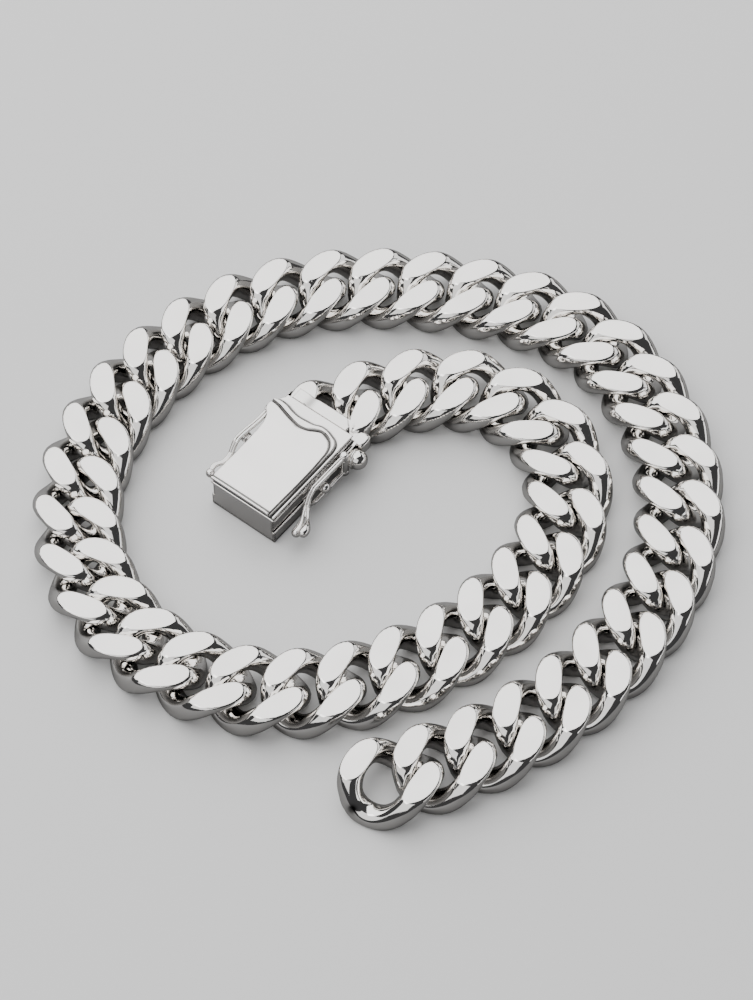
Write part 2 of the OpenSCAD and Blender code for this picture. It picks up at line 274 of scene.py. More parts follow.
def wire(path: Array, radius: float | Array, sides: int = 20) -> Skin:
    """Round wire along a path, with half-round ends.

    Each ring is the path's point plus the radius times (cos a times side + sin a times top), where side is
    level and square to the path and top is square to both.

    Args:
        path: the points of the wire's middle line, N by 3.
        radius: one radius, or one for each point.
        sides: points round the wire.

    Returns:
        The closed skin.
    """
    radii = np.broadcast_to(radius, len(path)).astype(float)
    along = unit(np.gradient(path, axis=0))
    out, shrink, count = np.sin(END_RINGS)[:, None], np.cos(END_RINGS), len(END_RINGS)
    head = path[0] - radii[0]*out[::-1]*along[0]
    tail = path[-1] + radii[-1]*out*along[-1]
    radii = np.concatenate([radii[0]*shrink[::-1], radii, radii[-1]*shrink])
    along = np.concatenate([np.repeat(along[:1], count, 0), along, np.repeat(along[-1:], count, 0)])
    path = np.concatenate([head, path, tail])
    steep = np.abs(along[:, 2:]) >= STEEP
    side = unit(np.cross(along, np.where(steep, np.array([1.0, 0, 0]), UP)))
    top = np.cross(side, along)
    a = np.linspace(0, 2*np.pi, sides, endpoint=False)[None, :, None]
    return tube(path[:, None] + radii[:, None, None]*(np.cos(a)*side[:, None] + np.sin(a)*top[:, None]))


def turned_piece(profile: Array, at: Array, along: Array | Triple, sides: int = 32,
                 hollow: bool = False) -> Skin:
    """Lathe work: a profile carried round an axis.

    A point is the axis's foot plus height times the axis plus radius times (cos a times e1 + sin a times e2).

    Args:
        profile: rows of radius and height, in order.
        at: the foot of the axis.
        along: the axis's direction.
        sides: points round the axis.
        hollow: whether the profile is a closed loop clear of the axis, as on an eye.

    Returns:
        The closed skin.
    """
    axis = unit(np.asarray(along, dtype=float))
    e1 = unit(np.cross(axis, ASKEW))
    e2 = np.cross(axis, e1)
    a = np.linspace(0, 2*np.pi, sides, endpoint=False)[None, :, None]
    r, h = profile[:, 0][:, None, None], profile[:, 1][:, None, None]
    return tube(at + h*axis + r*(np.cos(a)*e1 + np.sin(a)*e2), hollow)


def ball_profile(radius: float, middle: float, start: float = -84, end: float = 84, steps: int = 16) -> Array:
    """Profile of a ball from start to end degrees: radius times cosine, and middle plus radius times sine."""
    a = np.radians(np.linspace(start, end, steps))
    return np.stack([radius*np.cos(a), middle + radius*np.sin(a)], -1)


def eye_profile(bore: float, rim: float, low: float, high: float, bevel: float) -> Array:
    """Returns the profile of a flat eye: its bore's and rim's radii, its two faces and the rim's bevels."""
    return np.array([[bore, low], [rim - bevel, low], [rim, low + bevel], [rim, high - bevel],
                     [rim - bevel, high], [bore, high]])


def filleted(corners: Array, radius: float, steps: int = 7) -> Array:
    """Outline with its sharp corners rounded.

    A corner p sharper than 20 degrees becomes the curve (1 - t)^2 a + 2 t (1 - t) p + t^2 b, where a and b
    lie the radius before and after it.

    Args:
        corners: the outline's points, counter-clockwise from above.
        radius: how far the rounding reaches along both edges.
        steps: points on a rounded corner.

    Returns:
        The points of the rounded outline.
    """
    before = unit(np.roll(corners, 1, axis=0) - corners)
    after = unit(np.roll(corners, -1, axis=0) - corners)
    nearly_straight = -0.94
    sharp = np.einsum("ij,ij->i", before, after) > nearly_straight
    t = np.linspace(0, 1, steps)[:, None]
    parts = [(1 - t)**2*(p + radius*b) + 2*t*(1 - t)*p + t*t*(p + radius*a) if is_sharp else p[None]
             for p, b, a, is_sharp in zip(corners, before, after, sharp)]
    return np.concatenate(parts)


def prism(corners: Array | list, z0: float, z1: float, corner: float, edge: float) -> Skin:
    """Upright plate over an outline, with round corners and edges.

    Each ring is the outline drawn in along its inward direction by edge times (1 - cos b), and lies edge
    times (1 - sin b) inside the plate's face, for b from 0 to 90 degrees.

    Args:
        corners: the outline, counter-clockwise from above.
        z0: the lower face.
        z1: the upper face.
        corner: how far the corners' rounding reaches.
        edge: radius of the edges.

    Returns:
        The closed skin.
    """
    outline = filleted(np.asarray(corners, dtype=float), corner)
    ahead = unit(np.roll(outline, -1, axis=0) - np.roll(outline, 1, axis=0))
    inward = np.stack([-ahead[:, 1], ahead[:, 0]], -1)
    draw_in, fall = edge*(1 - np.cos(EDGE_RINGS)), edge*(1 - np.sin(EDGE_RINGS))
    flat = outline + np.concatenate([draw_in, draw_in[::-1]])[:, None, None]*inward
    level = np.concatenate([z0 + fall, z1 - fall[::-1]])[:, None, None]
    return tube(np.concatenate([flat, np.broadcast_to(level, (*flat.shape[:2], 1))], axis=2))


def plate(low: Array | Triple, high: Array | Triple, corner: float, edge: float) -> Skin:
    """Returns an oblong plate between its lowest and highest corners, with round corners and edges."""
    corners = [(low[0], low[1]), (high[0], low[1]), (high[0], high[1]), (low[0], high[1])]
    return prism(corners, low[2], high[2], corner, edge)


def grid_lines(start: float, end: float, edge: float, count: int) -> Array:
    """Places of a relief's grid lines, closest on its two round edges.

    On an edge they lie edge times (1 - cos b) from its rim, with b as in EDGE_LINES.

    Args:
        start: place of the first rim.
        end: place of the second rim.
        edge: radius of the edges.
        count: number of even lines between the edges.

    Returns:
        The places.
    """
    rim = edge*(1 - np.cos(EDGE_LINES))
    return np.concatenate([start + rim, np.linspace(start + edge, end - edge, count), (end - rim)[::-1]])


def relief(x: Array, y: Array, top: Callable[[Array, Array], Array], foot: float) -> Skin:
    """Slab whose top is a height over a grid, with upright sides and a flat underside.

    The top faces square to its own slopes, which are taken between places a hundredth of a millimetre apart.

    Args:
        x: the grid's places along x.
        y: its places along y.
        top: gives the height at places x and y.
        foot: height of the underside.

    Returns:
        The closed skin.
    """
    apart = 0.01
    slope_x = (top(x + apart, y) - top(x - apart, y))/(2*apart)
    slope_y = (top(x, y + apart) - top(x, y - apart))/(2*apart)
    points = np.stack([x, y, top(x, y)], -1).reshape(-1, 3)
    number = np.arange(x.size).reshape(x.shape)
    border = np.concatenate([number[0, :-1], number[:-1, -1], number[-1, :0:-1], number[:0:-1, 0]])
    at_foot = x.size + np.arange(len(border))
    around = np.stack([border, np.roll(border, -1), np.roll(at_foot, -1), at_foot], -1)
    across = grid_quads(*x.shape, False, False)[:, ::-1]
    skin = Skin(np.concatenate([points, points[border]*[1, 1, 0] + foot*UP]),
                np.concatenate([across, around]), [at_foot.tolist()])
    skin.facing[:x.size] = unit(np.stack([-slope_x, -slope_y, np.ones_like(x)], -1).reshape(-1, 3))
    return skin


@dataclass
class NodeBench:
    """Makes and joins the nodes of one material."""

    tree: bpy.types.NodeTree

    def feed(self, node: bpy.types.Node, inputs: dict[str | int, object]) -> None:
        """Sets a node's sockets, or joins other nodes' outputs to them.

        Args:
            node: the node.
            inputs: a number, a colour or another node's output for each socket's name or number.
        """
        for socket, value in inputs.items():
            if isinstance(value, Socket):
                self.tree.links.new(value, node.inputs[socket])
            else:
                node.inputs[socket].default_value = value

    def add(self, kind: str, output: str, inputs: dict[str | int, object], **settings: str) -> Socket:
        """Adds a node.

        Args:
            kind: the node's type.
            output: name of the output that is used.
            inputs: what feeds its sockets.
            settings: the node's own settings.

        Returns:
            The output.
        """
        node = self.tree.nodes.new(kind)
        for name, value in settings.items():
            setattr(node, name, value)
        self.feed(node, inputs)
        return node.outputs[output]

    def mix(self, share: Socket, first: tuple | Socket, second: tuple) -> Socket:
        """Mixes two colours by a share."""
        return self.add("ShaderNodeMix", "Result", {"Factor": share, "A": first, "B": second},
                        data_type="RGBA")

    def bump(self, height: Socket, depth: float, under: dict[str, Socket]) -> Socket:
        """Turns a height into a bump of a depth in millimetres, over the bump under it."""
        return self.add("ShaderNodeBump", "Normal", {"Strength": 1.0, "Distance": depth*MM, "Height": height,
                                                     **under})

    def spread(self, value: Socket, span: tuple[float, float], to: tuple[float, float]) -> Socket:
        """Maps a value from one range to another."""
        return self.add("ShaderNodeMapRange", "Result", {"Value": value, "From Min": span[0],
                                                         "From Max": span[1], "To Min": to[0],
                                                         "To Max": to[1]})


@dataclass(frozen=True)
class SilverFinish:
    """Polished silver, as one material.

    Fields:
        name: the material's name.
        tint: colour of clean silver.
        dull_tint: colour where it has dulled a little.
        painted_shade_tint: the near-black that recesses are painted with, as painted shade.
        round_roughness: roughness of the round wire.
        ground_roughness: roughness of a ground face.
        handling: how much the roughness varies.
        ripple: height of the slow ripple left by the polishing wheel, in millimetres.
        scratch: height of the fine scratches, in millimetres.
        dull_waves: waves per metre and detail of the dulled places; so for the next three.
        dull_span: the noise at which dulling starts and is full.
        handling_span: the noise at which handling starts and is full.
        scratch_stretch: how the scratches are drawn out along the axes.
    """

    name: str
    tint: Triple
    dull_tint: Triple
    painted_shade_tint: Triple = (0.02, 0.019, 0.018)
    round_roughness: float = 0.05
    ground_roughness: float = 0.12
    handling: float = 0.05
    ripple: float = 0.002
    scratch: float = 0.0008
    dull_waves: tuple[float, float] = (120, 3)
    handling_waves: tuple[float, float] = (350, 4)
    ripple_waves: tuple[float, float] = (260, 1)
    scratch_waves: tuple[float, float] = (2500, 2)
    dull_span: tuple[float, float] = (0.45, 0.75)
    handling_span: tuple[float, float] = (0.4, 0.75)
    scratch_stretch: Triple = (1, 0.08, 1)

    def material(self) -> None:
        """Builds the material.

        Slow noise gives the colour, and the painted_shade attribute paints shade into recesses as near-black.
        The ground attribute and faster noise give the roughness, and the ripples and the fine scratches are
        bumps.
        """
        made = bpy.data.materials.new(self.name)
        made.use_nodes = True
        bench = NodeBench(made.node_tree)
        place = bench.add("ShaderNodeTexCoord", "Object", {})

        def noise(waves: tuple[float, float], stretch: Triple = (1, 1, 1)) -> Socket:
            """Noise of so many waves per metre and so much detail, stretched along the axes."""
            at = bench.add("ShaderNodeMapping", "Vector", {"Vector": place, "Scale": stretch})
            return bench.add("ShaderNodeTexNoise", "Fac", {"Vector": at, "Scale": waves[0],
                                                           "Detail": waves[1]})

        def share(name: str) -> Socket:
            """The share that the mesh holds under a name."""
            return bench.add("ShaderNodeAttribute", "Fac", {}, attribute_name=name)

        silver = bench.mix(bench.spread(noise(self.dull_waves), self.dull_span, (0, 1)),
                           (*self.tint, 1), (*self.dull_tint, 1))
        ground = bench.spread(share("ground"), (0, 1), (self.round_roughness, self.ground_roughness))
        handled = bench.spread(noise(self.handling_waves), self.handling_span, (0, self.handling))
        scratches = noise(self.scratch_waves, self.scratch_stretch)
        rippled = bench.bump(noise(self.ripple_waves), self.ripple, {})
        bench.feed(made.node_tree.nodes["Principled BSDF"], {
            "Metallic": 1.0,
            # Painted shade: the colour is mixed towards near-black by the painted shade share, standing for
            # shade in recesses.
            "Base Color": bench.mix(share("painted_shade"), silver, (*self.painted_shade_tint, 1)),
            "Roughness": bench.add("ShaderNodeMath", "Value", {0: ground, 1: handled}, operation="ADD"),
            "Normal": bench.bump(scratches, self.scratch, {"Normal": rippled})})


@dataclass
class CurbLink:
    """One link: a round wire along a squared oval, twisted at both ends and ground flat on both faces.

    Fields:
        wire_d: the wire's diameter.
        width: the link's width.
        eye_play: room along the eye, past the two wires that lie in it.
        height: height between the two ground faces.
        face_spread: share by which the wire's section is wider at a ground face.
        twist: turn of an end out of the flat, in degrees.
        squareness: 2 for an oval, and more for a squarer one.
        twist_fullness: how much further the twist reaches between the middle and an end.
        outer_edge: softness of a ground face's outer edge.
        inner_edge: softness of its inner edge.
        edge_blend: how far across the section one softness passes into the other.
        plain_rings: rings on each side of the flat in a quarter.
        flat_rings: rings over the flat in a quarter.
        flat_clear: degrees between the flat's end and the next plain ring.
        corner_close: how far past the wire's top the corners may close up, in degrees.
        corner_close_rise: rise past the top over which they do.
        below_corner: places of a section's points below the corner, as shares of its angle.
        above_corner: places above it, as shares of the way from the corner to the top.
    """

    wire_d: float = 4.65
    width: float = 17.9
    eye_play: float = 1.45
    height: float = 7.5
    face_spread: float = 0.1
    twist: float = 50
    squareness: float = 2.2
    twist_fullness: float = 0.2
    outer_edge: float = 0.7
    inner_edge: float = 0.28
    edge_blend: float = 0.3
    plain_rings: int = 3
    flat_rings: int = 11
    flat_clear: float = 0.6
    corner_close: float = 25
    corner_close_rise: float = 0.15
    below_corner: tuple[float, ...] = (0, 0.35, 0.62, 0.82, 0.95)
    above_corner: tuple[float, ...] = (0.08, 0.3, 0.62)

    @property
    def long_radius(self) -> float:
        """Half the length of the oval that the wire's middle follows."""
        return (3*self.wire_d + self.eye_play)/2

    def centre_line(self, turn: Array) -> Array:
        """The wire's middle line.

        It runs along a squared oval of radii a and b: u = cos t and v = b sin t, each to the power 2 over the
        squareness. The point is then turned about the link's length by twist times u times
        (1 + fullness times (1 - u squared)).

        Args:
            turn: places round the link, in degrees.

        Returns:
            One point for each place, about the link's middle.
        """
        t = np.radians(turn)
        u = signed_power(np.cos(t), 2/self.squareness)
        v = (self.width - self.wire_d)/2*signed_power(np.sin(t), 2/self.squareness)
        twist = np.radians(self.twist)*u*(1 + self.twist_fullness*(1 - u*u))
        return np.stack([self.long_radius*u, v*np.cos(twist), -v*np.sin(twist)], -1)

    def ring_frames(self, turn: Array) -> tuple[Array, Array, Array]:
        """Frames of the rings, square to the wire's middle line.

        Args:
            turn: places round the link, in degrees.

        Returns:
            Each ring's middle, its level side direction and its upward direction.
        """
        middle = self.centre_line(turn)
        along = unit(self.centre_line(turn + 1) - self.centre_line(turn - 1))
        up = unit(UP - along*along[:, 2:])
        return middle, np.cross(along, up), up

    def stations(self) -> Array:
        """Places of the rings, in degrees.

        A quarter has plain rings, then the flat's, then plain ones. The flat's stand at its middle minus half
        its length times cos(pi (k + 1/2) / n), so that its round ends get the closest rings.

        Returns:
            The places, the same in each quarter.
        """
        # A quarter of the link in steps of about a tenth of a degree.
        fine = np.linspace(0.5, 89.5, 900)
        middle, _, up = self.ring_frames(fine)
        flat = fine[np.abs(middle[:, 2]) + self.wire_d/2*up[:, 2] > self.height/2]
        start, end = flat[0], flat[-1]
        k = np.arange(self.flat_rings)
        on_flat = (start + end)/2 - (end - start)/2*np.cos(np.pi*(k + 0.5)/self.flat_rings)
        before = np.linspace(0, start - self.flat_clear, self.plain_rings)
        after = np.linspace(end + self.flat_clear, 90, self.plain_rings + 1)
        quarter = np.concatenate([before, on_flat, after])
        half = np.concatenate([quarter, (180 - quarter[:-1])[::-1]])[:-1]
        return np.concatenate([half, 180 + half])

    def corner(self, rise: Array) -> Array:
        """Angle on the wire where the grinding plane cuts it, in degrees.

        Below the wire's top it is the arcsine of the rise. Past it, where nothing is ground, the corners
        close up: 90 less the close times (1 - exp(-(rise - 1)/close rise)).

        Args:
            rise: the plane's height over the wire's middle, as a share of the radius.

        Returns:
            The angle for each rise.
        """
        lowest = -0.9
        past = 90 - self.corner_close*(1 - np.exp(-np.maximum(rise - 1, 0)/self.corner_close_rise))
        return np.where(rise < 1, np.degrees(np.arcsin(np.clip(rise, lowest, 1))), past)

    def half_angles(self, corner: Array) -> Array:
        """Angles of a half section's points, closest round the two corners.

        Args:
            corner: the corner's angle on each ring, in degrees.

        Returns:
            One row of angles for each ring, from one side over the top to the other.
        """
        below = corner[:, None]*np.array(self.below_corner)
        above = corner[:, None] + (90 - corner)[:, None]*np.array(self.above_corner)
        rising = np.concatenate([below, above], axis=1)
        return np.concatenate([rising, np.full((len(corner), 1), 90.0), 180 - rising[:, :0:-1]], axis=1)

    def surface(self) -> Skin:
        """The link's skin.

        A section point lies half the width times cos a along side. Its height along up is the smooth
        minimum of the wire's, radius times sin a, and the grinding plane's. The smooth minimum of f and g
        with softness k is f w + g (1 - w) - k w (1 - w), where w is 1/2 + (g - f)/2k held between 0 and 1.
        Polishing has worn the outer edge of a face softer than the inner one.

        Returns:
            The closed skin, lying on z = 0 about its own middle.
        """
        middle, side, up = self.ring_frames(self.stations())
        radius = self.wire_d/2
        half_w = (radius*(1 + self.face_spread*np.abs(middle[:, 2])/(self.height/2)))[:, None]
        points, facing, ground = [], [], []
        for sign in (1, -1):
            rise = (self.height/2 - sign*middle[:, 2])/(radius*up[:, 2])
            a = np.radians(self.half_angles(self.corner(rise)))
            across, wire_height = sign*np.cos(a), radius*np.sin(a)
            outwards = ease(across, -self.edge_blend, self.edge_blend)
            softness = self.inner_edge + (self.outer_edge - self.inner_edge)*outwards
            plane = (rise*radius)[:, None]
            share = np.clip(0.5 + (plane - wire_height)/(2*softness), 0, 1)
            height = wire_height*share + plane*(1 - share) - softness*share*(1 - share)
            points.append(middle[:, None] + (half_w*across)[..., None]*side[:, None]
                          + (sign*height)[..., None]*up[:, None])
            upward = sign*np.sin(a)/radius
            arc = unit((across/half_w)[..., None]*side[:, None] + upward[..., None]*up[:, None])
            lift = np.abs(np.einsum("ijk,ik->ij", arc, up)/up[:, None, 2])
            facing.append(unit(share[..., None]*arc + ((1 - share)*lift)[..., None]*sign*UP))
            ground.append(1 - share)
        grid = np.concatenate(points, axis=1) + self.height/2*UP
        return Skin(grid.reshape(-1, 3), grid_quads(*grid.shape[:2], True, True), [],
                    np.concatenate(facing, axis=1).reshape(-1, 3), np.concatenate(ground, axis=1).reshape(-1))


@dataclass
class ChainRoute:
    """Where the links lie: a smooth curve through the route's points, scaled to the chain's real length.

    Fields:
        link: one link.
        count: number of links.
        link_gap: clearance left where two links are pushed up or pulled out.
        run_in: length of the curve before the first link's middle.
        run_out: its length past the last link's middle.
        heading_step: step along the curve that a heading is read over.
        steps: number of steps that the curve's length is measured in.
        solids_middle: the outline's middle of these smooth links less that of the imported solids, whose links
            have facets.
        centres: each link's middle, worked out here.
        headings: each link's heading in degrees, worked out here.
    """

    link: CurbLink
    count: int = 47
    link_gap: float = 0.25
    run_in: float = 0.3
    run_out: float = 0.6
    heading_step: float = 0.01
    steps: int = 450
    solids_middle: Triple = (0.0205, -0.0835, 0)
    centres: Array = field(init=False)
    headings: Array = field(init=False)

    def __post_init__(self) -> None:
        """Works out each link's middle and heading, about the middle of the whole outline."""
        u = np.linspace(0, len(ROUTE) - 3, self.steps + 1)
        along = np.concatenate([[0], np.cumsum(np.linalg.norm(np.diff(self.curve(u), axis=0), axis=1))])
        at = self.distances()
        scale = (at[-1] + self.run_in + self.run_out)/along[-1]
        places = np.interp((at + self.run_in)/scale, along, u)
        ahead = self.curve(places + self.heading_step) - self.curve(places - self.heading_step)
        self.headings = np.degrees(np.arctan2(ahead[:, 1], ahead[:, 0]))
        flat = scale*self.curve(places)
        self.centres = np.column_stack([flat, np.zeros(len(flat))])
        self.centres += np.array(self.solids_middle) - self.outline_middle()

    def curve(self, u: Array) -> Array:
        """Even cubic curve that the route's points pull at: each stretch mixes four of them.

        With t the way along the stretch, the shares are (1 - t)^3, 3t^3 - 6t^2 + 4, -3t^3 + 3t^2 + 3t + 1
        and t^3, each over 6.

        Args:
            u: places along the route, one for each stretch.

        Returns:
            The points.
        """
        i = np.clip(np.floor(u), 0, len(ROUTE) - 4).astype(int)
        t = (u - i)[:, None]
        shares = ((1 - t)**3, 3*t**3 - 6*t**2 + 4, -3*t**3 + 3*t**2 + 3*t + 1, t**3)
        return sum(share*ROUTE[i + k] for k, share in enumerate(shares))/6

    def distances(self) -> Array:
        """Distance of each link along the chain: close or taut spacing, mixed by the slack table.

        Returns:
            The distances from the first link's middle.
        """
        close = 2*self.link.wire_d + (self.link.eye_play + self.link_gap)/2
        taut = 2*self.link.wire_d + self.link.eye_play - self.link_gap
        slack = np.interp(np.arange(self.count - 1)/(self.count - 1), SLACK[:, 0], SLACK[:, 1])
        return np.concatenate([[0], np.cumsum(close + (taut - close)*slack)])

    def outline_middle(self) -> Array:
        """Returns the middle of the box round all the links, on the surface."""
        points = self.skins(0, self.count - 1).points
        return (points.min(0) + points.max(0))/2*[1, 1, 0]

    def skins(self, first: int, last: int) -> Skin:
        """Returns the links from the first to the last that is asked for, in place."""
        one = self.link.surface()
        return Skin.joined([one.moved(self.headings[k], self.centres[k]) for k in range(first, last + 1)])


@dataclass
class ClaspFrame:
    """The clasp's own frame: x from the seam into the box, y to the ball's side, z up from the surface.

    Fields:
        route: where the links lie.
        turn: the clasp's turn from the last link's heading, in degrees.
        solder_reach: distance from the last link's middle to the end block's face at the box.
        piece_gap: gap between two pieces that don't touch.
        heading: the frame's heading, worked out here.
        seam: the frame's origin, worked out here.
    """

    route: ChainRoute
    turn: float = 23.5
    solder_reach: float = 4.1
    piece_gap: float = 0.15
    heading: float = field(init=False)
    seam: Array = field(init=False)

    def __post_init__(self) -> None:
        """Works out the frame's heading and the seam's place."""
        self.heading = float(self.route.headings[-1]) + self.turn
        axis = turned(np.array([1.0, 0, 0]), self.heading)
        self.seam = self.route.centres[-1] + (self.solder_reach + self.piece_gap)*axis

    def placed(self, skins: list[Skin]) -> Skin:
        """Returns the skins as one, moved from the clasp's frame to the part's."""
        return Skin.joined(skins).moved(self.heading, self.seam)


@dataclass
class HingeSizes:
    """Sizes that the box, the cheeks, the latches and the pins share, in the clasp's frame.

    Fields:
        box_w: the box's width.
        box_h: its height without the lid's relief.
        back: a hinge's distance from the seam.
        out: its distance out from the box's side.
        pin_d: a pin's diameter.
        pin_play: play round a pin and above and below a knuckle.
        wire_d: thickness of a latch's eye.
        spread: height between the middles of a latch's two eyes.
        level_drop: height from the box's top down to the latches' middle level.
        left_in: how far the box's left side stands in behind its front.
    """

    box_w: float = 16.5
    box_h: float = 9.0
    back: float = 4.4
    out: float = 1.15
    pin_d: float = 0.9
    pin_play: float = 0.08
    wire_d: float = 1.15
    spread: float = 5.0
    level_drop: float = 4.1
    left_in: float = 0.7

    @property
    def bore(self) -> float:
        """Radius of the hole that a pin runs in."""
        return self.pin_d/2 + self.pin_play

    @property
    def middle_z(self) -> float:
        """Height of the latches' middle level."""
        return self.box_h - self.level_drop

    @property
    def knuckle_h(self) -> float:
        """Height of a cheek and its knuckle, between the latch's two eyes."""
        return self.spread - self.wire_d - 2*self.pin_play

    def at(self, side: Side, height: float) -> Array:
        """Returns a place on a side's hinge axis, at a height above the latches' middle level."""
        return np.array([self.back, side.value*(self.box_w/2 + self.out), self.middle_z + height])


@dataclass
class Assembly:
    """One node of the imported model, made again as one fine piece.

    Fields:
        clasp: the clasp's frame.
        hinge: the sizes that the clasp's pieces share.
        finish: the silver of the piece.
    """

    clasp: ClaspFrame
    hinge: HingeSizes
    finish: SilverFinish

    def dress(self, skin: Skin, name: str, slot: str, body: str, node: str) -> bpy.types.Object:
        """Makes a piece, gives it its finish and body, and lets it stand for its solid.

        Args:
            skin: the piece's skin, in the part's frame.
            name: the piece's name.
            slot: the record's material slot; not used.
            body: the body that it rides on.
            node: the solid that it replaces.

        Returns:
            The piece.
        """
        piece = skin.mesh(name)
        if self.finish.name not in bpy.data.materials:
            self.finish.material()
        piece.data.materials.append(bpy.data.materials[self.finish.name])
        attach(piece, body)
        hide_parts(node)
        return piece


@dataclass
class LooseLinks(Assembly):
    """The run of loose links."""

    def build(self) -> bpy.types.Object:
        """Makes the links in the places of their solids."""
        route = self.clasp.route
        return self.dress(route.skins(1, route.count - 2), "chain_links", "chain_silver", "necklace", "chain")


@dataclass
class EndLink(Assembly):
    """The free end link, whose solder joint is a small pit painted dark as shade.

    Fields:
        rings: plain rings and flat rings, finer than on the other links.
        pit: the pit's place.
        pit_r: its radius.
        pit_depth: its depth.
        pit_shade: how much of it is painted dark as shade; past 1 the painted shade reaches further out.
    """

    rings: tuple[int, int] = (10, 22)
    pit: Triple = (-5.0, -63.2, 3.0)
    pit_r: float = 0.85
    pit_depth: float = 0.35
    pit_shade: float = 1.5

    def skin(self) -> Skin:
        """The end link's skin.

        Its points near the pit sink against their own direction by the depth times a bell curve, which also
        paints shade into the pit.

        Returns:
            The closed skin, in place.
        """
        route = self.clasp.route
        fine = replace(route.link, plain_rings=self.rings[0], flat_rings=self.rings[1])
        skin = fine.surface().moved(route.headings[0], route.centres[0])
        share = bell(np.linalg.norm(skin.points - np.array(self.pit), axis=1), 0, self.pit_r)
        skin.points = skin.points - self.pit_depth*share[:, None]*skin.facing
        # Painted shade: the pit is painted dark along the same bell curve.
        skin.painted_shade = np.clip(self.pit_shade*share, 0, 1)
        return skin

    def build(self) -> bpy.types.Object:
        """Makes the end link in the place of its solid."""
        return self.dress(self.skin(), "end_link_eye", "end_link_silver", "necklace", "end_link")


